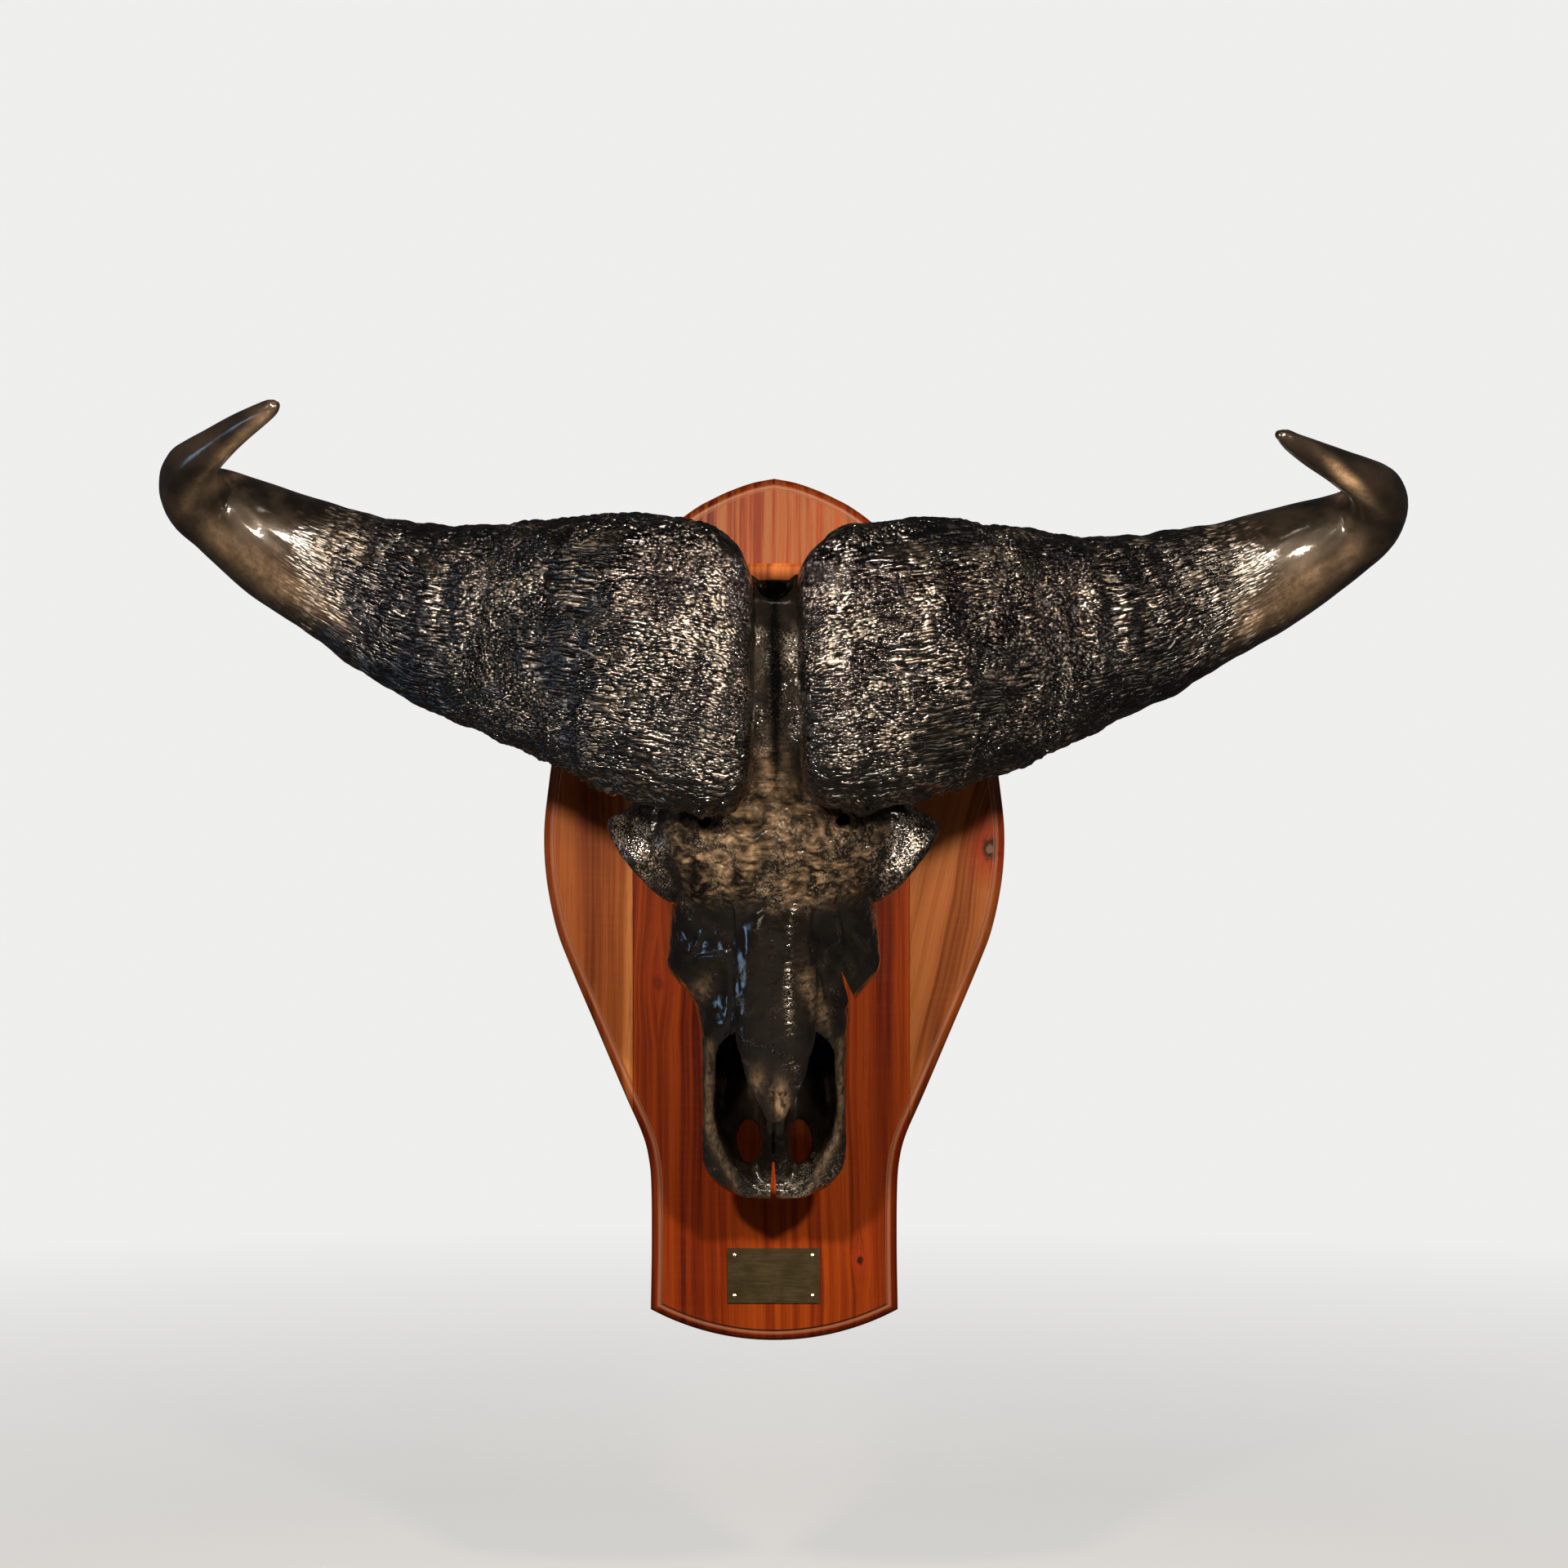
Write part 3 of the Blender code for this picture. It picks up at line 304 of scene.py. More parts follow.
def storeValues(mesh, name, values):
    kind = 'FLOAT' if values.ndim == 1 else 'FLOAT_VECTOR'
    layer = mesh.attributes.new(name, kind, 'POINT')
    layer.data.foreach_set("value" if values.ndim == 1 else "vector", values.ravel().astype(np.float32))


def dress(piece, material):
    piece.data.materials.clear()
    piece.data.materials.append(material)


def finishPiece(piece, material, replaced=(), sharpAbove=None):
    dress(piece, material)
    piece.data.shade_smooth()
    if sharpAbove:
        piece.data.set_sharp_from_angle(angle=math.radians(sharpAbove))
    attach(piece, "root")
    if replaced:
        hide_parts(*replaced)
    return piece


# Shared material making

def newMaterial(name):
    material = bpy.data.materials.new(name)
    material.use_nodes = True
    return material, material.node_tree, material.node_tree.nodes["Principled BSDF"]


# sockets are linked, numbers and colours are set
def fill(tree, node, links):
    for key, value in links.items():
        if isinstance(value, bpy.types.NodeSocket):
            tree.links.new(value, node.inputs[key])
        else:
            node.inputs[key].default_value = value


def addNode(tree, kind, links=None, **settings):
    node = tree.nodes.new("ShaderNode" + kind)
    for key, value in settings.items():
        setattr(node, key, value)
    fill(tree, node, links or {})
    return node


def mixColour(tree, share, first, second, blend='MIX'):
    links = {0: share, 6: first, 7: second}
    return addNode(tree, "Mix", links, data_type='RGBA', blend_type=blend).outputs[2]


def mathNode(tree, operation, *values, clamp=False):
    links = dict(enumerate(values))
    return addNode(tree, "Math", links, operation=operation, use_clamp=clamp).outputs[0]


def plus(tree, first, second, clamp=False):
    return mathNode(tree, 'ADD', first, second, clamp=clamp)


def minus(tree, first, second):
    return mathNode(tree, 'SUBTRACT', first, second)


def times(tree, first, second, clamp=False):
    return mathNode(tree, 'MULTIPLY', first, second, clamp=clamp)


def vectorNode(tree, operation, *values, output="Vector"):
    return addNode(tree, "VectorMath", dict(enumerate(values)), operation=operation).outputs[output]


def mapRange(tree, value, fromLow, fromHigh, toLow=0.0, toHigh=1.0):
    return addNode(tree, "MapRange", {0: value, 1: fromLow, 2: fromHigh, 3: toLow, 4: toHigh}).outputs[0]


def attribute(tree, name, output="Fac"):
    return addNode(tree, "Attribute", attribute_name=name).outputs[output]


def noiseNode(tree, vector, scale, detail=4.0, roughness=0.55):
    return addNode(tree, "TexNoise", {"Vector": vector, "Scale": scale, "Detail": detail,
                                      "Roughness": roughness}).outputs["Fac"]


def stretched(tree, vector, scale):
    return addNode(tree, "Mapping", {"Vector": vector, "Scale": scale}).outputs[0]


def bumpNode(tree, height, strength, distance):
    return addNode(tree, "Bump", {"Height": height, "Strength": strength, "Distance": distance}).outputs[0]


# Lacquered horn and bone

lacquerLook = {
    "valley": (0.0040, 0.0030, 0.0023, 1.0),
    "bronze": (1.00, 0.800, 0.620, 1.0),
    "dark": (0.0032, 0.0024, 0.0018, 1.0),
    "rubbed": (0.66, 0.430, 0.245, 1.0),
    "cloudScale": 34.0,
    "fineScale": 260.0,
    "stretchScale": 24.0,           # stretches of long and of short beads
    "driftScale": 70.0,
    "driftReach": 0.0046,           # how far the rows of beads wander
    "domeFall": 1.8,
    "dimSize": (62.0, 15.0, 15.0),  # dim bars across the grain
    "fineBump": 0.16,
    "beadRoughness": 0.27,
    "smoothRoughness": 0.30,
    "matteRoughness": 0.66,
    "coatRoughness": 0.10,
    "coatIor": 1.7,
    "sheen": (1.0, 0.80, 0.60, 1.0),
}
hornFinish = {
    "name": "dark bronze lacquer on horn",
    "shortBead": (0.0035, 0.0018, 0.0018), "longBead": (0.0115, 0.0024, 0.0024), "beadDepth": 0.0010,
    "leastGleam": 0.14, "brownAllOver": 0.0, "specular": 0.30,
    "threadSize": (24.0, 62.0, 62.0), "threadLow": 0.22,
    "brown": (0.0230, 0.0155, 0.0100, 1.0), "rubbedShadow": (0.090, 0.058, 0.034, 1.0),
}
boneFinish = {
    "name": "dark bronze lacquer on bone",
    "shortBead": (0.0014, 0.0014, 0.0014), "longBead": (0.0020, 0.0016, 0.0022), "beadDepth": 0.0004,
    "leastGleam": 0.22, "brownAllOver": 1.0, "specular": 0.12,
    "threadSize": (60.0, 170.0, 210.0), "threadLow": 0.36,
    "brown": (0.0078, 0.0052, 0.0034, 1.0), "rubbedShadow": (0.045, 0.029, 0.017, 1.0),
}


# dark lacquer under a clear coat. Its beads are domes, 1 - 1.8 * (distance to the nearest of many scattered
# points)^2, brown-black at the foot, which is painted shade between the beads, and more or less bronze on top,
# with ragged borders; some stretches have long beads, others short. Smooth places are near black, with brown
# clouds on bone and towards the horns' ends, and rubbed places are tan
def lacquer(finish):
    look = lacquerLook
    material, tree, shader = newMaterial(finish["name"])
    spot = addNode(tree, "TexCoord").outputs["Object"]
    path = attribute(tree, "grain", "Vector")
    rubbed, matte, peak, coarse, lengthened, glint = (attribute(tree, word) for word in (
        "rubbed", "matte", "peak", "coarse", "lengthened", "glint"))
    cloud = noiseNode(tree, spot, look["cloudScale"], 5.0, 0.6)
    fine = noiseNode(tree, spot, look["fineScale"], 4.0, 0.6)
    drift = addNode(tree, "TexNoise", {"Vector": path, "Scale": look["driftScale"], "Detail": 3.0})
    drift = vectorNode(tree, 'ADD', drift.outputs["Color"], (-0.5, -0.5, -0.5))
    drift = vectorNode(tree, 'MULTIPLY', drift, (look["driftReach"],) * 3)
    bent = vectorNode(tree, 'ADD', path, drift)
    domes, gleams = [], []
    for size in (finish["shortBead"], finish["longBead"]):
        cells = stretched(tree, bent, tuple(1.0 / side for side in size))
        bead = addNode(tree, "TexVoronoi", {"Vector": cells, "Scale": 1.0}, feature='F1').outputs
        gap = bead["Distance"]
        domes.append(mathNode(tree, 'MULTIPLY_ADD', times(tree, gap, gap), -look["domeFall"], 1.0))
        gleams.append(addNode(tree, "SeparateColor", {0: bead["Color"]}).outputs[0])
    stretches = mapRange(tree, noiseNode(tree, spot, look["stretchScale"], 2.0), 0.50, 0.60)
    long = plus(tree, stretches, lengthened, clamp=True)
    dome, gleam = (mathNode(tree, 'MULTIPLY_ADD', minus(tree, second, first), long, first)
                   for first, second in (domes, gleams))
    ragged = mathNode(tree, 'MULTIPLY_ADD', minus(tree, fine, 0.5), 1.5, dome)
    browner = mathNode(tree, 'MAXIMUM', lengthened, finish["brownAllOver"])
    browner = times(tree, browner, mapRange(tree, cloud, 0.42, 0.66))
    body = mixColour(tree, browner, look["dark"], finish["brown"])
    # glint adds painted highlights: there the beads turn fully bronze where the lamps' highlights are to show
    most = plus(tree, mapRange(tree, gleam, 0.20, 0.80, finish["leastGleam"], 1.0), glint)
    # lit: bronze on each bead's top, valley-dark at its foot, painted shade between the beads
    lit = times(tree, mapRange(tree, ragged, 0.42, 0.90), most, clamp=True)
    beads = mixColour(tree, lit, look["valley"], look["bronze"])
    # where peak is low the beads turn valley-dark: on the horns peak is low in the texture's hollows, painted
    # shade there; on bone it is spread at random
    beads = mixColour(tree, mapRange(tree, peak, 0.0, 0.65, 0.96, 0.0), beads, look["valley"])
    across = noiseNode(tree, stretched(tree, path, look["dimSize"]), 1.0, 3.0)
    dimness = mapRange(tree, plus(tree, across, cloud), 0.94, 1.11, 0.92, 0.0)
    beads = mixColour(tree, dimness, beads, look["valley"])
    base = mixColour(tree, coarse, body, beads)
    threads = noiseNode(tree, stretched(tree, path, finish["threadSize"]), 1.0, 4.0, 0.62)
    patch = mixColour(tree, mapRange(tree, threads, finish["threadLow"], 0.64), finish["rubbedShadow"],
                      look["rubbed"])
    patchy = mapRange(tree, plus(tree, cloud, fine), 0.75, 1.25, 0.45, 1.25)
    wearAndHighlight = times(tree, rubbed, patchy, clamp=True)
    shine = mapRange(tree, coarse, 0.0, 1.0, look["smoothRoughness"], look["beadRoughness"])
    extra = times(tree, matte, look["matteRoughness"] - look["beadRoughness"])
    uneven = mathNode(tree, 'MULTIPLY_ADD', minus(tree, fine, 0.5), 0.5, dome)
    relief = plus(tree, times(tree, uneven, coarse), times(tree, fine, look["fineBump"]))
    bump = bumpNode(tree, relief, 1.0, finish["beadDepth"])
    fill(tree, shader, {
        "Base Color": mixColour(tree, wearAndHighlight, base, patch),
        "Roughness": plus(tree, shine, extra),
        "Metallic": times(tree, coarse, mapRange(tree, wearAndHighlight, 0.0, 0.8, 1.0, 0.0)),
        "Coat Weight": mapRange(tree, matte, 0.20, 0.90, 1.0, 0.10),
        "Coat Roughness": look["coatRoughness"],
        "Coat IOR": look["coatIor"],
        "Specular IOR Level": finish["specular"],
        "Specular Tint": look["sheen"],
        "Normal": bump,
        "Coat Normal": bump,
    })
    return material


# Horns

hornLook = {
    "ringPlaces": [(0.0, 0.0), (0.80, 0.62), (1.0, 1.0)],   # share of the rings, share of the length
    "rings": 300,
    "around": 328,
    "viewerSide": 0.42,             # how much denser the points stand on the viewer's side
    "squareEnd": 0.110,             # sections stand square to X at the boss and turn with the horn by here
    "bossPower": 2.5,
    "middlePower": 2.1,
    "reliefEnd": (0.47, 0.64),      # shares of the length over which the relief dies away
    "ledgePitch": 0.034,
    "ledgeHeight": 0.0005,
    "lumpSize": (0.0085, 0.020, 0.011),     # on the lower edge
    "lumpHeight": 0.0090,
    "swellSize": (0.030, 0.022, 0.022),
    "swellHeight": 0.0030,
    "warpSize": (0.050, 0.024, 0.024),
    "warpReach": 0.0035,
    "streakSize": (0.0190, 0.0064),         # length and spacing of the ridges
    "streakHeight": 0.0023,
    "knobSize": (0.0092, 0.0074),
    "knobHeight": 0.0021,
    "mixSize": (0.045, 0.040, 0.040),       # stretches of streaks and of knobs
    "patchSize": (0.026, 0.017, 0.017),     # patches with little texture
    "rippleSize": (0.050, 0.009, 0.009),    # on the smooth end
    "rippleHeight": 0.0007,
    "capSizes": (0.45, 0.80, 0.95),         # rounded inner end of the boss
    "capReach": (0.0006, 0.0004, 0.0001),
}

# rows: x, out, z of each section's middle, half height, half depth; features are in x and z as the viewer sees
# them. Lines: path, width, height, pitch of beads; mounds and patches: x, z, half length, half width, turn,
# height or strength. Patches: plain has little texture, dim has dark beads, dull has less coat, long has long
# beads, glint has brighter ones as painted highlights, rubbed is tan
horns = {
    "horn_left": {
        "seed": 5,
        "rows": [
            (-0.0145, 0.236, 0.170, 0.062, 0.030), (-0.0170, 0.237, 0.176, 0.080, 0.041),
            (-0.0230, 0.238, 0.180, 0.092, 0.049), (-0.0360, 0.237, 0.185, 0.105, 0.055),
            (-0.0600, 0.231, 0.192, 0.110, 0.057), (-0.0920, 0.219, 0.200, 0.108, 0.058),
            (-0.1240, 0.202, 0.208, 0.104, 0.058), (-0.1560, 0.180, 0.214, 0.096, 0.057),
            (-0.1900, 0.158, 0.221, 0.089, 0.055), (-0.2230, 0.140, 0.227, 0.081, 0.053),
            (-0.2560, 0.122, 0.234, 0.075, 0.051), (-0.2900, 0.105, 0.246, 0.067, 0.048),
            (-0.3240, 0.092, 0.260, 0.059, 0.045), (-0.3580, 0.083, 0.276, 0.052, 0.042),
            (-0.3920, 0.078, 0.292, 0.047, 0.040), (-0.4180, 0.080, 0.307, 0.041, 0.037),
            (-0.4400, 0.089, 0.320, 0.035, 0.033), (-0.4550, 0.103, 0.329, 0.0300, 0.0295),
            (-0.4600, 0.122, 0.339, 0.0252, 0.0255), (-0.4570, 0.143, 0.349, 0.0215, 0.0215),
            (-0.4470, 0.163, 0.357, 0.0172, 0.0175), (-0.4300, 0.184, 0.366, 0.0138, 0.0140),
            (-0.4090, 0.205, 0.377, 0.0108, 0.0110), (-0.3900, 0.226, 0.385, 0.0082, 0.0082),
            (-0.3805, 0.236, 0.389, 0.0062, 0.0062), (-0.3755, 0.2415, 0.3905, 0.0028, 0.0028)],
        "lines": [
            ([(-0.0235, 0.262), (-0.0245, 0.200), (-0.0260, 0.140)], 0.0042, 0.0026, 0.0),
            ([(-0.0330, 0.255), (-0.0340, 0.200), (-0.0400, 0.170)], 0.0045, -0.0022, 0.0),
            ([(-0.0470, 0.176), (-0.0580, 0.158), (-0.0660, 0.135), (-0.0680, 0.104)], 0.0026, -0.0048, 0.0)],
        "mounds": [
            (-0.0460, 0.122, 0.032, 0.014, 97.0, 0.0035),
            (-0.0900, 0.262, 0.040, 0.009, 54.0, -0.0045),
            (-0.1210, 0.280, 0.028, 0.009, 56.0, -0.0040),
            (-0.1100, 0.300, 0.014, 0.014, 0.0, 0.0045),
            (-0.2150, 0.215, 0.050, 0.014, 88.0, -0.0018),
            (-0.1720, 0.230, 0.060, 0.014, 82.0, 0.0018)],
        "plain": [
            (-0.0900, 0.262, 0.040, 0.010, 54.0, 1.0), (-0.1210, 0.280, 0.030, 0.009, 56.0, 1.0),
            (-0.0440, 0.128, 0.034, 0.012, 97.0, 0.55), (-0.0245, 0.205, 0.060, 0.005, 90.0, 0.9),
            (-0.2000, 0.205, 0.026, 0.012, 80.0, 0.7)],
        "dim": [
            (-0.2120, 0.229, 0.034, 0.075, 0.0, 0.95), (-0.1080, 0.262, 0.060, 0.028, 4.0, 0.85),
            (-0.2700, 0.205, 0.040, 0.020, -20.0, 0.5)],
        "dull": [(-0.4280, 0.322, 0.022, 0.014, 60.0, 1.0)],
        "long": [(-0.0800, 0.180, 0.030, 0.022, 0.0, 0.6)],
        "glint": [
            (-0.0254, 0.201, 0.036, 0.0040, 90.0, 1.0), (-0.3200, 0.268, 0.046, 0.026, -24.0, 1.2),
            (-0.0820, 0.205, 0.020, 0.009, 0.0, 0.6), (-0.1500, 0.205, 0.012, 0.020, 0.0, 0.4)],
        "rubbed": [
            (-0.4010, 0.269, 0.045, 0.0135, -36.0, 1.0), (-0.4420, 0.302, 0.018, 0.010, -50.0, 0.35),
            (-0.3500, 0.238, 0.024, 0.010, -33.0, 0.6), (-0.4200, 0.3545, 0.040, 0.0048, 38.0, 1.0)],
    },
    "horn_right": {
        "seed": 11,
        "rows": [
            (0.0190, 0.236, 0.176, 0.064, 0.030), (0.0215, 0.237, 0.181, 0.082, 0.041),
            (0.0275, 0.238, 0.184, 0.092, 0.049), (0.0410, 0.237, 0.187, 0.103, 0.055),
            (0.0640, 0.231, 0.192, 0.109, 0.057), (0.0950, 0.219, 0.197, 0.107, 0.058),
            (0.1270, 0.202, 0.204, 0.105, 0.058), (0.1600, 0.180, 0.207, 0.098, 0.057),
            (0.1930, 0.158, 0.214, 0.091, 0.055), (0.2260, 0.140, 0.219, 0.082, 0.053),
            (0.2600, 0.122, 0.227, 0.073, 0.051), (0.2930, 0.105, 0.236, 0.067, 0.048),
            (0.3270, 0.092, 0.248, 0.060, 0.045), (0.3610, 0.083, 0.260, 0.053, 0.042),
            (0.3950, 0.078, 0.274, 0.048, 0.040), (0.4250, 0.080, 0.288, 0.042, 0.037),
            (0.4520, 0.089, 0.301, 0.035, 0.033), (0.4695, 0.102, 0.313, 0.0300, 0.0295),
            (0.4755, 0.121, 0.325, 0.0252, 0.0255), (0.4700, 0.143, 0.334, 0.0215, 0.0215),
            (0.4570, 0.163, 0.341, 0.0172, 0.0175), (0.4380, 0.184, 0.348, 0.0138, 0.0140),
            (0.4150, 0.205, 0.356, 0.0108, 0.0110), (0.3975, 0.226, 0.362, 0.0082, 0.0082),
            (0.3885, 0.236, 0.3665, 0.0062, 0.0062), (0.3815, 0.2415, 0.3685, 0.0028, 0.0028)],
        "lines": [
            ([(0.0290, 0.262), (0.0290, 0.200), (0.0300, 0.130)], 0.0042, 0.0020, 0.0),
            ([(0.0385, 0.255), (0.0380, 0.200), (0.0390, 0.150)], 0.0040, -0.0018, 0.0),
            ([(0.0625, 0.202), (0.0620, 0.186), (0.0630, 0.172)], 0.0040, -0.0036, 0.0),
            ([(0.2430, 0.300), (0.2454, 0.230), (0.2440, 0.160)], 0.0042, -0.0032, 0.0),
            ([(0.2580, 0.300), (0.2607, 0.230), (0.2600, 0.170)], 0.0038, -0.0028, 0.0),
            ([(0.2860, 0.300), (0.2888, 0.235), (0.2890, 0.180)], 0.0046, -0.0030, 0.0),
            ([(0.3160, 0.300), (0.3194, 0.250), (0.3210, 0.200)], 0.0046, -0.0026, 0.0)],
        "mounds": [
            (0.0820, 0.250, 0.026, 0.011, 64.0, -0.0040),
            (0.0920, 0.132, 0.0045, 0.0045, 0.0, -0.0045),
            (0.1240, 0.290, 0.020, 0.012, 10.0, 0.0030),
            (0.1650, 0.215, 0.060, 0.014, 92.0, -0.0020),
            (0.2150, 0.215, 0.055, 0.014, 94.0, 0.0018)],
        "plain": [
            (0.0820, 0.250, 0.028, 0.012, 64.0, 1.0), (0.0620, 0.188, 0.018, 0.006, 90.0, 0.9),
            (0.0270, 0.200, 0.060, 0.005, 90.0, 0.8), (0.2450, 0.205, 0.030, 0.008, 95.0, 0.7)],
        "dim": [
            (0.2130, 0.229, 0.032, 0.075, 0.0, 0.98), (0.0500, 0.270, 0.050, 0.018, 5.0, 0.7)],
        "dull": [(0.4420, 0.309, 0.022, 0.014, -60.0, 1.0)],
        "long": [(0.1300, 0.250, 0.048, 0.024, -8.0, 1.0)],
        "glint": [
            (0.0629, 0.1827, 0.008, 0.008, 0.0, 1.0), (0.0994, 0.1827, 0.011, 0.006, 0.0, 1.0),
            (0.1680, 0.233, 0.022, 0.010, 90.0, 0.9), (0.0450, 0.215, 0.024, 0.008, 100.0, 0.5),
            (0.2970, 0.252, 0.026, 0.020, 30.0, 1.2), (0.3500, 0.264, 0.034, 0.022, 24.0, 0.9)],
        "rubbed": [
            (0.4110, 0.2565, 0.045, 0.0130, 31.0, 1.0), (0.4560, 0.286, 0.016, 0.008, 55.0, 0.25),
            (0.3760, 0.228, 0.022, 0.010, 30.0, 0.50), (0.4440, 0.3365, 0.020, 0.0042, -36.0, 1.0)],
    },
}


# centre line and half sizes where the rings stand, which is closer together along the rough part
def hornSections(rows):
    fine = np.linspace(0.0, len(rows) - 1.0, 4000)
    values = smoothRows(rows, fine)
    centres = place(values[:, 0], values[:, 1], values[:, 2])
    steps = np.linalg.norm(np.diff(centres, axis=0), axis=1)
    lengths = np.concatenate([[0.0], np.cumsum(steps)])
    shares, marks = zip(*hornLook["ringPlaces"])
    wanted = np.interp(np.linspace(0.0, 1.0, hornLook["rings"]), shares, marks) * lengths[-1]
    table = smoothRows(rows, np.interp(wanted, lengths, fine))
    return place(table[:, 0], table[:, 1], table[:, 2]), table, wanted


# height over the horn's plain section: ledges + swells + lumps on the lower edge + texture + the named lines
# and mounds, all dying away towards the smooth end, which has faint ripples. The texture is pebbles and
# folded noise in long streaks, or pebbles as knobs. The looks say where the beads are (coarse), how bright
# (peak, low in the hollows as painted shade; glint, painted highlights), how long (lengthened) and along
# what they run (grain)
def hornRelief(horn, base, travel, angle, high, deep):
    look, seed = hornLook, horn["seed"]
    share = travel / travel[-1, 0]
    viewer = smoothStep(np.sin(angle), -0.15, 0.45)
    wander = 0.9 * np.sin(2.0 * angle + seed) + 0.5 * np.sin(3.0 * angle)
    ledges = look["ledgeHeight"] * np.sin(2.0 * math.pi * travel / look["ledgePitch"] + wander)
    lowEdge = clamped(-np.cos(angle)) ** 5
    spots = xyz(travel, high, deep)
    lumps = look["lumpHeight"] * lowEdge * stepDown(share, 0.20, 0.34)
    lumps = lumps * noise(spots / look["lumpSize"], seed + 10)
    swells = look["swellHeight"] * noise(spots / look["swellSize"], seed + 1)
    warp = look["warpReach"] * noise(spots / look["warpSize"], seed + 2)
    spreading = np.sqrt(np.maximum(np.abs(high).max(axis=1), 0.02) / 0.09)[:, None]
    fan = xyz(travel, high / spreading + warp, deep + warp)
    streakLength, streakGap = look["streakSize"]
    ridges = np.abs(noise(fan / (streakLength * 1.3, streakGap * 1.1, streakGap * 1.1), seed + 3)) * 2.2
    streaks = 0.75 * pebbles(fan / (streakLength, streakGap, streakGap), seed + 8) + 0.55 * ridges - 0.75
    knobLength, knobGap = look["knobSize"]
    knobs = pebbles(fan / (knobLength, knobGap, knobGap), seed + 4) - 0.65
    mixed = smoothStep(noise(spots / look["mixSize"], seed + 5), -0.10, 0.22)
    mixed = clamped(mixed + smoothStep(share, 0.16, 0.30) * 0.8 - smoothStep(share, 0.36, 0.44))
    x, z = base[..., 0], base[..., 2]
    plain = clamped(moundRelief(x, z, horn["plain"]) * viewer)
    fade = stepDown(share, *look["reliefEnd"])
    inner = smoothStep(travel, 0.004, 0.030)
    taper = 1.0 - 0.55 * smoothStep(share, 0.20, 0.50)
    grown = (1.0 - mixed) * streaks * look["streakHeight"] / look["knobHeight"] + mixed * knobs
    patchy = smoothStep(noise(spots / look["patchSize"], seed + 9), 0.22, 0.34)
    plain = clamped(plain + 0.55 * patchy * fade)
    texture = look["knobHeight"] * grown * (1.0 - 0.88 * plain) * taper
    texture *= 0.35 + 0.65 * inner
    named = (lineRelief(x, z, horn["lines"]) + moundRelief(x, z, horn["mounds"])) * viewer
    height = fade * (inner * (ledges + swells + lumps) + texture) + named * np.minimum(fade * 2.0, 1.0)
    ripples = look["rippleHeight"] * (1.0 - fade) * noise(spots / look["rippleSize"], seed + 7)
    # peak is low in the texture's hollows, where the beads are painted dark as shade, and on plain and dim
    # patches
    peak = smoothStep(grown, -0.70, 0.05) * (1.0 - 0.90 * plain)
    peak *= 1.0 - patches(x, z, horn["dim"]) * viewer
    lengthened = smoothStep(share, 0.32, 0.40) + moundRelief(x, z, horn["long"]) * viewer
    looks = {
        "coarse": clamped(fade * (1.0 - 0.80 * plain)),
        "peak": peak,
        "grain": fan,
        "lengthened": clamped(lengthened),
        "glint": 0.8 * patches(x, z, horn["glint"]) * viewer,
    }
    return height + ripples, looks


def surfaceNormals(rings):
    along = np.gradient(rings, axis=0)
    across = np.roll(rings, -1, axis=1) - np.roll(rings, 1, axis=1)
    return unit(np.cross(across, along))


# in the hook, the inner side of each ring is drawn in to reach / (1 + (reach / R)^6)^(1/6), R being 0.9 of
# the bend's radius, so that neighbouring rings never cross
def unfolded(offset, centres, travel):
    along = unit(np.gradient(centres, travel, axis=0))
    bend = np.gradient(along, travel, axis=0)
    window = np.hanning(15) / np.hanning(15).sum()
    padded = np.pad(bend, ((7, 7), (0, 0)), mode="edge")
    bend = np.stack([np.convolve(padded[:, k], window, mode="valid") for k in range(3)], axis=-1)
    inwards = unit(bend)[:, None]
    radius = 0.9 / np.maximum(np.linalg.norm(bend, axis=-1), 1e-3)[:, None]
    reach = np.sum(offset * inwards, axis=-1)
    drawn = reach / (1.0 + (np.maximum(reach, 0.0) / radius) ** 6) ** (1.0 / 6.0)
    hooked = smoothStep(travel / travel[-1], 0.50, 0.60)[:, None]
    return offset + inwards * ((drawn - reach) * hooked)[..., None]


# section outline about the centre line: half height * cos on the raised direction and half depth * sin
# on the viewer's, both times the rounded section's radius
def hornPoints(horn):
    look = hornLook
    centres, table, travel = hornSections(horn["rows"])
    side = math.copysign(1.0, horn["rows"][0][0])
    share = travel / travel[-1]
    turn = turnAngles(look["around"])
    angle = turn + look["viewerSide"] * np.cos(turn)
    along = unit(np.gradient(centres, axis=0))
    turned = np.minimum(np.abs(table[:, 0]) / look["squareEnd"], 1.0)[:, None] ** 2
    along = unit(np.array((side, 0.0, 0.0)) * (1.0 - turned) + along * turned)
    raised = unit(np.array((0.0, 0.0, 1.0)) - along[:, 2:3] * along)
    viewer = np.cross(raised, along) * side
    power = look["bossPower"] + (look["middlePower"] - look["bossPower"]) * np.minimum(2.0 * share, 1.0)
    radius = roundedSection(angle[None, :], power[:, None])
    high = table[:, 3:4] * np.cos(angle) * radius
    deep = table[:, 4:5] * np.sin(angle) * radius
    offset = raised[:, None] * high[..., None] + viewer[:, None] * deep[..., None]
    base = centres[:, None] + unfolded(offset, centres, travel)
    return base, travel[:, None], angle[None, :], high, deep


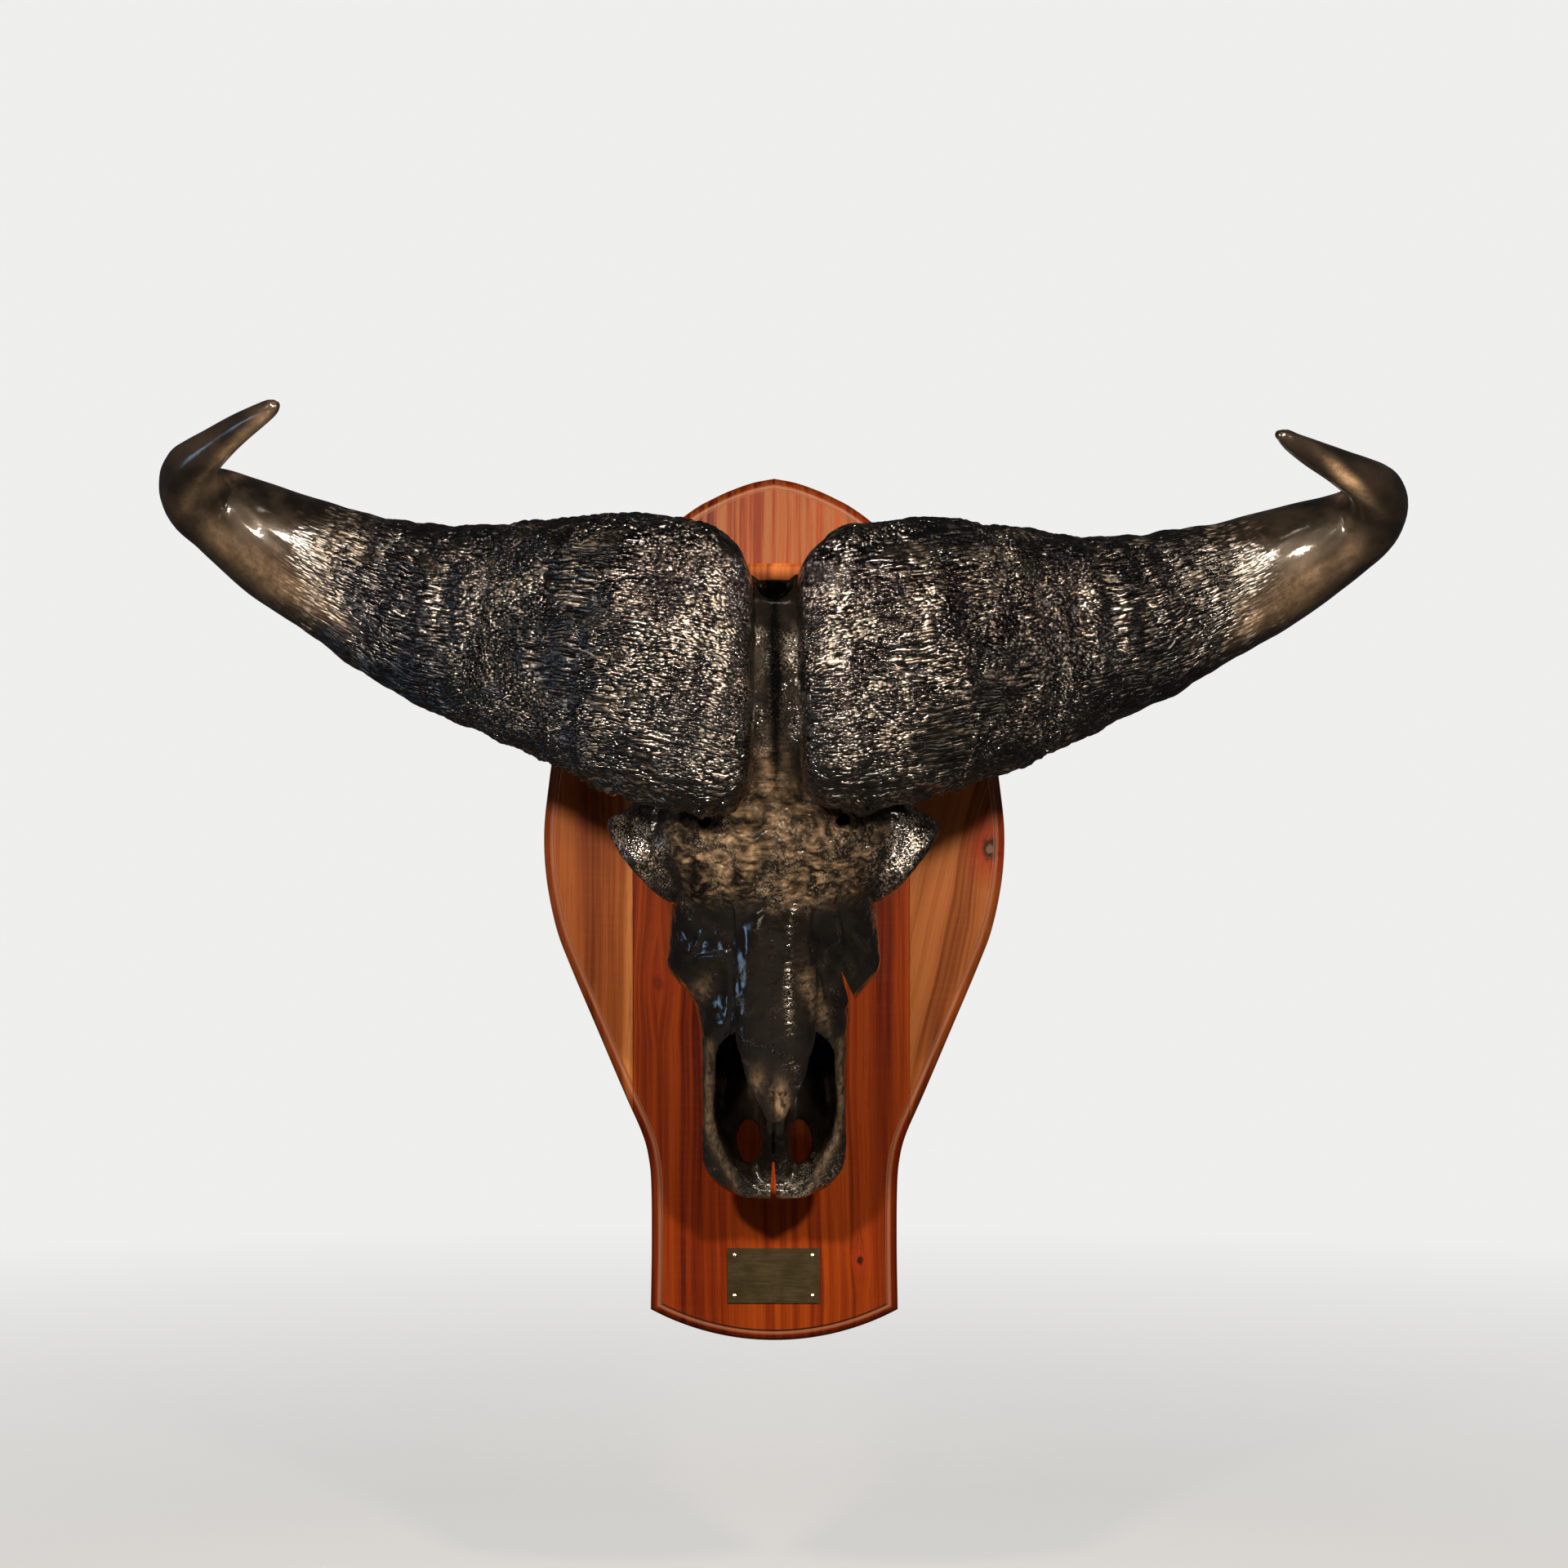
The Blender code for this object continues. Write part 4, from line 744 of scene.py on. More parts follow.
def makeHorn(name, horn, material):
    base, travel, angle, high, deep = hornPoints(horn)
    outwards = surfaceNormals(base)
    middle = base.mean(axis=1, keepdims=True)
    outwards *= np.sign(np.sum(outwards * (base - middle), axis=-1, keepdims=True).mean())
    height, looks = hornRelief(horn, base, travel, angle, high, deep)
    rings = base + outwards * height[..., None]
    side = math.copysign(1.0, horn["rows"][0][0])
    sizes = np.array(hornLook["capSizes"])[:, None, None]
    reach = np.array(hornLook["capReach"])[:, None, None] * np.array((-side, 0.0, 0.0))
    firstMiddle = rings[:1].mean(axis=1, keepdims=True)
    closing = firstMiddle + (rings[:1] - firstMiddle) * sizes + reach
    rings = np.concatenate([closing, rings])
    mesh = gridMesh(name, rings)
    x, z = base[..., 0], base[..., 2]
    viewer = smoothStep(np.broadcast_to(np.sin(angle), x.shape), -0.3, 0.4)
    rubbed = patches(x, z, horn["rubbed"]) * (0.25 + 0.75 * viewer)
    dull = patches(x, z, horn["dull"]) * viewer
    smooth = smoothStep(travel / travel[-1], *hornLook["reliefEnd"])
    satin = 0.40 * smooth + 0.85 * (1.0 - looks["coarse"]) * (1.0 - smooth)
    looks["rubbed"] = rubbed
    looks["matte"] = np.maximum(np.maximum(0.45 * rubbed, dull), satin)

    # values for every vertex, in gridMesh's order: the cap's rings, the rings, both middles
    def spread(values):
        shaped = np.concatenate([np.repeat(values[:1], len(sizes), axis=0), values])
        flat = shaped.reshape(-1, *values.shape[2:])
        return np.concatenate([flat, shaped[0].mean(axis=0)[None], shaped[-1].mean(axis=0)[None]])
    for word, values in looks.items():
        storeValues(mesh, word, spread(values))
    piece = addPiece(name.replace("horn_", "lacquered_horn_"), mesh)
    print(name, len(mesh.polygons), "faces")
    return finishPiece(piece, material, [name])


hornLacquer = lacquer(hornFinish)
for name, horn in horns.items():
    makeHorn(name, horn, hornLacquer)


# Skull

# level sections: z, half width, out at back, middle and front, powers front and back
skullShape = {
    "cranium": [
        (0.263, 0.044, 0.098, 0.150, 0.186, 2.6, 2.6), (0.256, 0.058, 0.084, 0.150, 0.205, 2.6, 2.6),
        (0.236, 0.068, 0.074, 0.150, 0.216, 2.8, 2.4), (0.200, 0.073, 0.068, 0.160, 0.222, 3.0, 2.2),
        (0.150, 0.073, 0.068, 0.165, 0.225, 3.0, 2.0), (0.110, 0.076, 0.074, 0.170, 0.223, 2.8, 2.0),
        (0.080, 0.090, 0.084, 0.170, 0.220, 2.4, 2.0), (0.058, 0.098, 0.092, 0.165, 0.216, 2.2, 2.0),
        (0.038, 0.092, 0.092, 0.160, 0.212, 2.0, 2.2), (0.014, 0.072, 0.090, 0.150, 0.206, 2.0, 2.4),
        (-0.010, 0.050, 0.090, 0.140, 0.196, 2.0, 2.4)],
    "face": [
        (0.048, 0.060, 0.090, 0.140, 0.200, 2.0, 2.4), (0.034, 0.078, 0.074, 0.138, 0.196, 2.0, 3.0),
        (0.018, 0.0815, 0.064, 0.134, 0.193, 2.0, 3.0), (0.004, 0.0815, 0.060, 0.128, 0.190, 1.9, 3.0),
        (-0.020, 0.083, 0.057, 0.120, 0.186, 1.6, 3.0),
        (-0.042, 0.084, 0.055, 0.112, 0.181, 1.45, 3.0), (-0.056, 0.074, 0.054, 0.108, 0.177, 1.45, 3.0),
        (-0.070, 0.063, 0.053, 0.104, 0.173, 1.7, 3.0), (-0.085, 0.060, 0.052, 0.102, 0.165, 2.0, 3.0),
        (-0.100, 0.059, 0.052, 0.098, 0.146, 2.4, 3.0), (-0.140, 0.058, 0.051, 0.088, 0.118, 2.6, 3.0),
        (-0.180, 0.058, 0.050, 0.078, 0.096, 2.6, 3.0), (-0.203, 0.056, 0.050, 0.072, 0.086, 2.6, 3.0),
        (-0.218, 0.046, 0.050, 0.066, 0.078, 2.6, 3.0), (-0.227, 0.032, 0.052, 0.062, 0.072, 2.6, 2.6),
        (-0.231, 0.016, 0.056, 0.060, 0.068, 2.2, 2.2)],
    "nasals": [
        (0.022, 0.024, 0.170, 0.180, 0.203, 2.0, 2.0), (0.000, 0.030, 0.160, 0.178, 0.204, 2.2, 2.0),
        (-0.060, 0.033, 0.150, 0.164, 0.187, 2.2, 2.0), (-0.095, 0.031, 0.150, 0.158, 0.176, 2.2, 2.0),
        (-0.110, 0.0275, 0.148, 0.155, 0.170, 2.0, 2.0), (-0.127, 0.0235, 0.143, 0.150, 0.163, 2.0, 2.0),
        (-0.141, 0.0175, 0.138, 0.144, 0.155, 2.0, 2.0), (-0.154, 0.0110, 0.132, 0.138, 0.147, 2.0, 2.0),
        (-0.163, 0.0060, 0.128, 0.133, 0.140, 2.0, 2.0)],
    "septum": [
        (-0.030, 0.006, 0.056, 0.110, 0.170, 3.0, 3.0), (-0.090, 0.006, 0.056, 0.100, 0.160, 3.0, 3.0),
        (-0.135, 0.010, 0.052, 0.090, 0.150, 2.6, 4.0), (-0.152, 0.0118, 0.048, 0.085, 0.138, 2.6, 5.0),
        (-0.172, 0.0120, 0.048, 0.080, 0.120, 2.4, 5.0), (-0.186, 0.0120, 0.048, 0.074, 0.100, 2.4, 5.0),
        (-0.200, 0.0125, 0.050, 0.066, 0.084, 2.2, 4.0), (-0.212, 0.0115, 0.052, 0.062, 0.074, 2.0, 2.6),
        (-0.220, 0.0060, 0.054, 0.062, 0.068, 2.0, 2.4)],
    "cavity": [
        (0.000, 0.020, 0.090, 0.120, 0.150, 2.0, 2.0), (-0.040, 0.036, 0.075, 0.110, 0.152, 2.0, 2.4),
        (-0.085, 0.036, 0.066, 0.110, 0.152, 2.2, 2.8), (-0.0960, 0.0385, 0.064, 0.118, 0.185, 2.8, 3.0),
        (-0.1030, 0.0440, 0.064, 0.120, 0.190, 3.0, 3.0), (-0.1160, 0.0460, 0.063, 0.118, 0.190, 3.0, 3.0),
        (-0.1500, 0.0478, 0.062, 0.110, 0.180, 3.0, 2.6), (-0.1640, 0.0478, 0.061, 0.105, 0.170, 3.0, 2.4),
        (-0.1820, 0.0435, 0.060, 0.100, 0.160, 3.0, 2.2),
        (-0.200, 0.0350, 0.061, 0.092, 0.150, 2.6, 2.0), (-0.213, 0.0280, 0.064, 0.092, 0.140, 2.4, 2.0),
        (-0.222, 0.0190, 0.067, 0.092, 0.130, 2.2, 2.0)],
    "nasalShift": (0.0012, 0.0, 0.0),
    "triangles": 192000,
    "levels": 60,
    "around": 96,
    "voxel": 0.0021,
    "rimTop": -0.088,               # below this height the grain runs down the rims
    "fineFacing": -0.25,            # faces this far towards the viewer, and below fineTop, are made finer
    "fineTop": 0.105,
}

# bars on both sides: x, out, z, half size forward, half size sideways
skullBars = {
    "arch": [
        (0.062, 0.106, -0.046, 0.018, 0.016), (0.068, 0.104, -0.012, 0.020, 0.011),
        (0.073, 0.101, 0.025, 0.017, 0.008), (0.080, 0.100, 0.065, 0.015, 0.0075),
        (0.081, 0.100, 0.100, 0.014, 0.0075), (0.073, 0.104, 0.128, 0.016, 0.010),
        (0.058, 0.112, 0.145, 0.020, 0.014)],
    "pterygoid": [
        (0.024, 0.100, 0.062, 0.018, 0.004), (0.025, 0.080, 0.040, 0.024, 0.005),
        (0.026, 0.066, 0.012, 0.018, 0.006)],
    "rim": [
        (0.0490, 0.1170, -0.0960, 0.0060, 0.0030), (0.0505, 0.1120, -0.1060, 0.0062, 0.0044),
        (0.0525, 0.1020, -0.1340, 0.0058, 0.0040), (0.0530, 0.0935, -0.1600, 0.0058, 0.0038),
        (0.0500, 0.0850, -0.1800, 0.0062, 0.0040), (0.0385, 0.0790, -0.2015, 0.0060, 0.0042),
        (0.0325, 0.0735, -0.2170, 0.0056, 0.0042), (0.0230, 0.0690, -0.2255, 0.0050, 0.0040),
        (0.0120, 0.0670, -0.2265, 0.0046, 0.0036)],
}
jugularProcess = [
    (0.066, 0.095, 0.235, 0.015, 0.011), (0.070, 0.070, 0.222, 0.013, 0.009),
    (0.071, 0.050, 0.208, 0.008, 0.007)]

orbit = {
    "centre": (0.0990, 0.146, 0.046),
    "axis": (0.755, -0.170, -0.630),            # x, out, z of the direction the right socket faces
    "profile": [
        (0.0300, -0.058), (0.0400, -0.052), (0.0390, -0.030), (0.0382, -0.012), (0.0412, -0.004),
        (0.0420, 0.0015), (0.0398, 0.0062), (0.0352, 0.0085), (0.0300, 0.0064), (0.0270, 0.0015),
        (0.0262, -0.004)],
    "socket": [(0.0150, -0.040), (0.0235, -0.030), (0.0262, -0.010), (0.0268, 0.004), (0.0290, 0.020)],
    "wobble": 0.045,
}
teeth = {
    "count": 6, "pitch": 0.0175, "firstZ": -0.066, "x": 0.047, "bow": 0.002,
    "width": 0.021, "length": 0.0158, "tipOut": 0.027, "rootOut": 0.075,
}
condyle = {"centre": (0.026, 0.100, 0.254), "size": (0.019, 0.021, 0.018)}
openings = {
    "fissure": (0.0203, 0.055, -0.1845), "fissureSize": (0.0098, 0.0178), "palateCut": 0.030,
    "foramen": (0.0530, 0.205, 0.077), "foramenRadius": 0.0052, "foramenLength": 0.040,
    "gap": [(-0.0014, -0.199), (0.0002, -0.199), (0.0030, -0.240), (-0.0040, -0.240)],
    "gapOut": (0.020, 0.120),
    "spinal": (0.0, 0.123, 0.250), "spinalRadius": 0.015, "spinalLength": 0.060,
    "wedge": [(0.0530, -0.0430), (0.0565, -0.0500), (0.0655, -0.0690), (0.0950, -0.0700), (0.0950, -0.0850),
              (0.0602, -0.0850), (0.0585, -0.0665)],       # between cheek and upper jaw
    "wedgeOut": (0.0, 0.25),
    "poll": (0.0006, 0.225, 0.2595), "pollRadius": 0.0150, "pollLength": 0.150,
    "pedestalRoom": 0.0003,
}

# fine relief of the face. Lines: path in x and z, width, height, pitch of beads; mounds and rubbed places:
# x, z, half length, half width, turn, height or strength
skullLines = {
    "suture": [([(-0.0008, 0.045), (-0.0008, -0.060), (-0.0006, -0.120)], 0.0012, 0.0010, 0.0030)],
    "stitches": [
        ([(0.0165, 0.014), (0.0125, -0.008)], 0.0030, 0.0020, 0.0055),
        ([(0.0122, -0.012), (0.0112, -0.060), (0.0130, -0.095)], 0.0025, 0.0022, 0.0088),
        ([(-0.0205, -0.0970), (-0.0050, -0.1010), (0.0085, -0.1080)], 0.0022, 0.0022, 0.0044),
        ([(0.0140, -0.110), (0.0190, -0.122), (0.0175, -0.140)], 0.0032, 0.0014, 0.0034)],
    "fork": [([(-0.0006, -0.138), (-0.0002, -0.192)], 0.0013, -0.0040, 0.0)],
    "panel": [
        ([(-0.0290, 0.008), (-0.0292, -0.030), (-0.0296, -0.060), (-0.0330, -0.094)], 0.0016, 0.0012, 0.0),
        ([(-0.0318, 0.008), (-0.0322, -0.030), (-0.0330, -0.060), (-0.0365, -0.094)], 0.0022, -0.0024, 0.0),
        ([(0.0280, 0.005), (0.0262, -0.018), (0.0280, -0.032), (0.0352, -0.050), (0.0392, -0.070),
          (0.0440, -0.094)], 0.0024, 0.0016, 0.0),
        ([(0.0320, 0.005), (0.0300, -0.018), (0.0320, -0.032), (0.0392, -0.050), (0.0430, -0.070)],
         0.0024, -0.0020, 0.0)],
    "cheek": [
        ([(0.0480, 0.005), (0.0536, -0.0115), (0.0517, -0.0204), (0.0422, -0.0267)], 0.0018, 0.0014, 0.0),
        ([(0.0647, -0.0134), (0.0740, -0.0273)], 0.0020, 0.0016, 0.0),
        ([(-0.0577, -0.0321), (-0.0446, -0.0303), (-0.0320, -0.0266)], 0.0022, 0.0018, 0.0),
        ([(-0.0558, -0.0115), (-0.0634, -0.0284), (-0.0700, -0.0330)], 0.0020, 0.0016, 0.0),
        ([(-0.0743, -0.0134), (-0.0672, -0.0260)], 0.0018, 0.0014, 0.0),
        ([(-0.0500, -0.0440), (-0.0590, -0.0665)], 0.0022, -0.0026, 0.0)],
    "brow": [
        ([(0.0820, 0.0130), (0.0600, 0.0100), (0.0450, 0.0150)], 0.0026, 0.0016, 0.0036),
        ([(-0.0820, 0.0130), (-0.0600, 0.0110), (-0.0450, 0.0150)], 0.0026, 0.0016, 0.0036),
        ([(0.0530, 0.074), (0.0480, 0.060), (0.0450, 0.040)], 0.0032, -0.0022, 0.0),
        ([(-0.0520, 0.074), (-0.0500, 0.058)], 0.0032, -0.0022, 0.0)],
    "rims": [
        ([(0.0530, -0.100), (0.0540, -0.134), (0.0535, -0.160), (0.0505, -0.180), (0.0385, -0.2016),
          (0.0330, -0.217), (0.0270, -0.228)], 0.0016, 0.0005, 0.0),
        ([(-0.0510, -0.100), (-0.0525, -0.134), (-0.0530, -0.160), (-0.0495, -0.180), (-0.0395, -0.2016),
          (-0.0320, -0.217), (-0.0270, -0.228)], 0.0016, 0.0005, 0.0)],
}
# a painted highlight along the lower outer rim of the right eye socket: path, width, strength, pitch
rimGlint = ([(0.1160, 0.0420), (0.1030, 0.0270), (0.0900, 0.0140)], 0.0024, 1.0, 0.0)
skullMounds = [
    (-0.0480, -0.012, 0.014, 0.011, 0.0, -0.0024), (0.0500, -0.010, 0.014, 0.011, 0.0, -0.0024),
    (-0.0640, 0.000, 0.010, 0.010, 0.0, 0.0016), (0.0660, -0.004, 0.010, 0.010, 0.0, 0.0014),
    (-0.0420, -0.060, 0.024, 0.008, 100.0, -0.0022), (0.0500, -0.040, 0.016, 0.006, 70.0, -0.0016),
    (0.0000, 0.052, 0.060, 0.016, 0.0, 0.0016), (0.0000, 0.110, 0.030, 0.008, 90.0, -0.0020),
    (-0.0228, -0.2046, 0.0045, 0.0045, 0.0, 0.0022), (0.0191, -0.2058, 0.0045, 0.0045, 0.0, 0.0022),
]
skullRubbed = [
    (0.0045, -0.142, 0.012, 0.006, 90.0, 0.75), (-0.0140, -0.130, 0.012, 0.006, 80.0, 0.35),
    (0.0330, -0.065, 0.026, 0.006, 110.0, 0.35), (0.0000, 0.112, 0.024, 0.009, 90.0, 0.5),
    (-0.0610, -0.0620, 0.014, 0.007, 58.0, 0.40), (0.0080, -0.150, 0.008, 0.005, 80.0, 0.5),
    (0.0000, -0.2290, 0.030, 0.003, 0.0, 0.4),
]
boneTexture = {
    "browLow": 0.012, "foldSize": (0.0120, 0.020, 0.0056), "foldHeight": 0.0015, "clumpHeight": 0.0012,
    "threadHeight": 0.0009, "browLift": 0.0005, "socketHeight": 0.0006, "cheekHeight": 0.0011,
    "noseHeight": 0.00045, "broadHeight": 0.0008, "fineHeight": 0.00035,
}


# superellipse sections, stacked: half width * cos across, and front or back reach * sin forward, both times
# the rounded section's radius
def levelRings(rows):
    table = smoothRows(rows, np.linspace(0.0, len(rows) - 1.0, skullShape["levels"]))
    z, half, back, middle, front, powerFront, powerBack = (table[:, k, None] for k in range(7))
    angle = turnAngles(skullShape["around"])
    forward = np.sin(angle) >= 0.0
    power = np.where(forward, powerFront, powerBack)
    radius = roundedSection(angle, power)
    reach = np.where(forward, front - middle, middle - back)
    return place(half * np.cos(angle) * radius, middle + reach * np.sin(angle) * radius, z)


# a rounded section carried along a path, kept upright to one direction
def barRings(rows, side, upright, count=40, around=28):
    table = smoothRows(rows, np.linspace(0.0, len(rows) - 1.0, count))
    centres = place(side * table[:, 0], table[:, 1], table[:, 2])
    along = unit(np.gradient(centres, axis=0))
    raised = unit(np.array(upright) - np.sum(along * upright, axis=1)[:, None] * along)
    beside = np.cross(along, raised)
    angle = turnAngles(around)
    radius = roundedSection(angle, 2.4)
    high = table[:, 3, None] * np.cos(angle) * radius
    wide = table[:, 4, None] * np.sin(angle) * radius
    return centres[:, None] + raised[:, None] * high[..., None] + beside[:, None] * wide[..., None]


def orbitFrame(side):
    x, out, z = orbit["centre"]
    across, away, rise = orbit["axis"]
    return place(side * x, out, z), unit(np.array((side * across, -away, rise)))


# profile turned round the socket's axis, its radius wavering by the sum of two waves
def orbitRings(side, profile, around=72):
    centre, axis = orbitFrame(side)
    rings = turnedRings(profile, centre, axis, around)
    angle = turnAngles(around)
    waver = 1.0 + orbit["wobble"] * (0.6 * np.sin(3.0 * angle + side) + 0.4 * np.sin(5.0 * angle + 2.0))
    middle = centre + axis * np.sum((rings - centre) * axis, axis=-1)[..., None]
    return middle + (rings - middle) * waver[None, :, None]


# a straight round rod about any axis
def rodRings(centre, axis, radius, length, around=32):
    return turnedRings([(radius, -length / 2.0), (radius, length / 2.0)], centre, axis, around)


# a molar from tip to root: width * cos and length * sin, pinched on its four sides by cos(2a)^8, with two
# cusps as cos(2a) on the tip
def toothRings(side, k):
    width, length = teeth["width"], teeth["length"]
    x = side * (teeth["x"] - teeth["bow"] * abs(k - teeth["count"] // 2))
    z = teeth["firstZ"] + k * teeth["pitch"]
    angle = turnAngles(32)
    share = np.linspace(0.0, 1.0, 8)[:, None]
    size = 0.50 + 0.03 * share
    waist = 1.0 - 0.10 * np.cos(2.0 * angle) ** 8
    cusp = 0.0022 * (1.0 - share) ** 6 * np.cos(2.0 * angle)
    out = teeth["tipOut"] + cusp + (teeth["rootOut"] - teeth["tipOut"]) * share
    return place(x + width * size * waist * np.cos(angle), out, z + length * size * waist * np.sin(angle))


# a prism on an outline of (x, z) points, between two distances out
def prismMesh(name, outline, near, far):
    flat = np.array(outline)
    return gridMesh(name, np.array([place(flat[:, 0], out, flat[:, 1]) for out in (near, far)]))


def skullCutters():
    meshes = []
    for side in (-1.0, 1.0):
        meshes.append(gridMesh("socket", orbitRings(side, orbit["socket"], 48)))
        x, out, z = openings["fissure"]
        halfWidth, halfHeight = openings["fissureSize"]
        angle = turnAngles(40)
        depth = np.array([-0.5, 0.5])[:, None] * openings["palateCut"]
        meshes.append(gridMesh("fissure", place(side * x + halfWidth * np.cos(angle), out + depth,
                                                z + halfHeight * np.sin(angle))))
        x, out, z = openings["foramen"]
        hole = rodRings(place(side * x, out, z), (0.0, 1.0, 0.25), openings["foramenRadius"],
                        openings["foramenLength"], 24)
        meshes.append(gridMesh("foramen", hole))
    spinal = rodRings(place(*openings["spinal"]), (0.0, 0.25, 1.0), openings["spinalRadius"],
                      openings["spinalLength"], 40)
    meshes.append(gridMesh("spinal", spinal))
    poll = rodRings(place(*openings["poll"]), (0.0, 1.0, 0.0), openings["pollRadius"],
                    openings["pollLength"], 40)
    meshes.append(gridMesh("poll", poll))
    low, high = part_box("pedestal")
    reach = openings["pedestalRoom"]
    meshes.append(boxMesh("pedestalRoom", (low.x - reach, low.y - reach, low.z - reach),
                          (high.x + reach, high.y + 0.010, high.z + 0.020)))
    return joinMeshes("skullCutters", meshes)


# the front of the face gets one finer level of faces
def refineFront(mesh):
    shape = bmesh.new()
    shape.from_mesh(mesh)
    shape.normal_update()
    chosen = [face for face in shape.faces if face.normal.y < skullShape["fineFacing"]
              and face.calc_center_median().z < skullShape["fineTop"]]
    edges = list({edge for face in chosen for edge in face.edges})
    bmesh.ops.subdivide_edges(shape, edges=edges, cuts=1, use_grid_fill=True, smooth=0.6)
    bmesh.ops.triangulate(shape, faces=[face for face in shape.faces if len(face.verts) > 4])
    shape.to_mesh(mesh)
    shape.free()


# height over the fused bone, and its looks: where it is rubbed, matte or beaded (coarse), and how bright its
# beads are (peak; glint, which paints highlights)
def skullRelief(points, normals):
    look = boneTexture
    x, y, z = points.T
    out = boardFace - y
    front = smoothStep(-normals[:, 1], 0.15, 0.55)
    outer = smoothStep(out, 0.118, 0.128) + smoothStep(-z, 0.090, 0.110) * smoothStep(out, 0.062, 0.075)
    outer = clamped(outer) * front
    band = np.zeros(x.shape)                            # the eye sockets' rims
    for side in (-1.0, 1.0):
        centre, axis = orbitFrame(side)
        offset = points - centre
        height = offset @ axis
        radius = np.linalg.norm(offset - height[:, None] * axis, axis=1)
        band += (smoothStep(height, -0.034, -0.020) * smoothStep(radius, 0.026, 0.031)
                 * stepDown(radius, 0.046, 0.052) * smoothStep(side * x, 0.058, 0.070))
    band = clamped(band)
    fringe = look["browLow"] + 0.012 * noise(points / (0.011, 0.05, 0.05), 21)
    brow = smoothStep(z, fringe - 0.010, fringe + 0.012) * stepDown(z, 0.100, 0.112) * front
    brow *= (1.0 - band) * stepDown(np.abs(x) + 0.02 * noise(points / 0.014, 22), 0.070, 0.100)
    slant = (z + 0.022 * noise(points / (0.026, 0.05, 0.022), 35) + 0.008 * noise(points / 0.0090, 37)
             + 0.20 * np.abs(x))
    fibres = np.stack([x, y, slant], axis=-1)
    folds = np.abs(roughNoise(fibres / look["foldSize"], 31, 3)) * 2.0 - 0.45
    clumps = roughNoise(points / (0.0100, 0.0100, 0.0080), 36, 2)
    threads = noise(fibres / (0.0110, 0.008, 0.0022), 34)
    relief = brow * (look["foldHeight"] * folds + look["clumpHeight"] * clumps
                     + look["threadHeight"] * threads + look["browLift"])
    named = sum(lineRelief(x, z, lines) for lines in skullLines.values())
    relief += np.maximum(outer, front * smoothStep(out, 0.100, 0.110)) * (1.0 - 0.7 * brow) * named
    relief += outer * moundRelief(x, z, skullMounds)
    relief += band * look["socketHeight"] * noise(points / 0.0050, 41)
    cheek = (smoothStep(np.abs(x), 0.036, 0.046) * smoothStep(z, -0.066, -0.045)
             * stepDown(z, -0.002, 0.010) * front)
    relief += cheek * look["cheekHeight"] * roughNoise(points / (0.012, 0.012, 0.008), 57, 2)
    nose = smoothStep(-np.abs(x), -0.030, -0.024) * smoothStep(-z, -0.005, 0.010) * outer
    relief += nose * look["noseHeight"] * noise(points / (0.0045, 0.010, 0.030), 58)
    general = (look["broadHeight"] * roughNoise(points / 0.013, 51, 2)
               + look["fineHeight"] * noise(points / 0.0042, 53))
    relief += general * (1.0 - 0.5 * band)
    sparkle = smoothStep(noise(points / (0.020, 0.020, 0.030), 61), -0.15, 0.2)
    centred = np.exp(-(x / 0.042) ** 2) * np.exp(-((z - 0.058) / 0.034) ** 2)
    wearAndHighlight = (0.28 + 0.26 * centred + 1.30 * roughNoise(fibres / (0.013, 0.02, 0.0085), 71, 3) + 0.30 * folds
            + 0.30 * threads)
    rubbed = np.clip(0.40 * brow * wearAndHighlight, 0.0, 0.60)
    for path, _, _, _ in skullLines["rims"]:
        gap, _ = pathDistance(x, z, path)
        rubbed = np.maximum(rubbed, 0.26 * np.exp(-(gap / 0.0036) ** 2) * front * smoothStep(out, 0.06, 0.07))
    rubbed = np.maximum(rubbed, front * patches(x, z, skullRubbed))
    # inside the hole at the poll, or behind its rim
    pollX, _, pollZ = openings["poll"]
    hollow = (1.0 - smoothStep(np.hypot(x - pollX, z - pollZ) - openings["pollRadius"], 0.001, 0.004)
              * smoothStep(out, 0.214, 0.220))
    # the sides of the nasal septum
    flank = stepDown(np.abs(x), 0.016, 0.024) * stepDown(out, 0.110, 0.122)
    flank *= smoothStep(-z, 0.130, 0.145) * stepDown(-z, 0.205, 0.215)
    matte = clamped(0.95 * brow + 0.10 + 0.8 * hollow * smoothStep(z, 0.236, 0.244) + flank)
    # beads on the strip between the bosses, the lobes at the muzzle and the stitches of the sutures
    strip = smoothStep(z, 0.118, 0.135) * stepDown(z, 0.214, 0.224) * smoothStep(out, 0.205, 0.212) * front
    lobes = (0.35 * smoothStep(-z, 0.186, 0.200) + 0.65 * smoothStep(-z, 0.212, 0.220)) * front
    knots = clamped(lineRelief(x, z, skullLines["stitches"]) / 0.0016) * front
    dusting = 0.05 * smoothStep(noise(points / 0.016, 62), 0.05, 0.35) * outer
    paintedRimHighlight = lineRelief(x, z, [rimGlint]) * front
    # the left socket's rim gets fewer bronze beads than the right, so it shows darker: painted shade on the
    # left side
    band *= 0.46 + 0.54 * smoothStep(x, -0.05, 0.05)
    coarse = 0.80 * band + 0.14 * brow + 0.5 * strip * (0.4 + 0.6 * sparkle) + 0.55 * lobes + 0.85 * knots
    coarse = clamped(coarse + dusting + paintedRimHighlight)
    # glint: painted highlights along that rim and on the stitches' beads, which also stand out in relief
    glint = np.maximum(paintedRimHighlight, knots)
    peak = clamped(0.35 + 0.65 * smoothStep(noise(points / 0.009, 53), -0.30, 0.10))
    return relief, {"rubbed": rubbed, "matte": matte, "coarse": coarse, "peak": peak, "glint": glint}


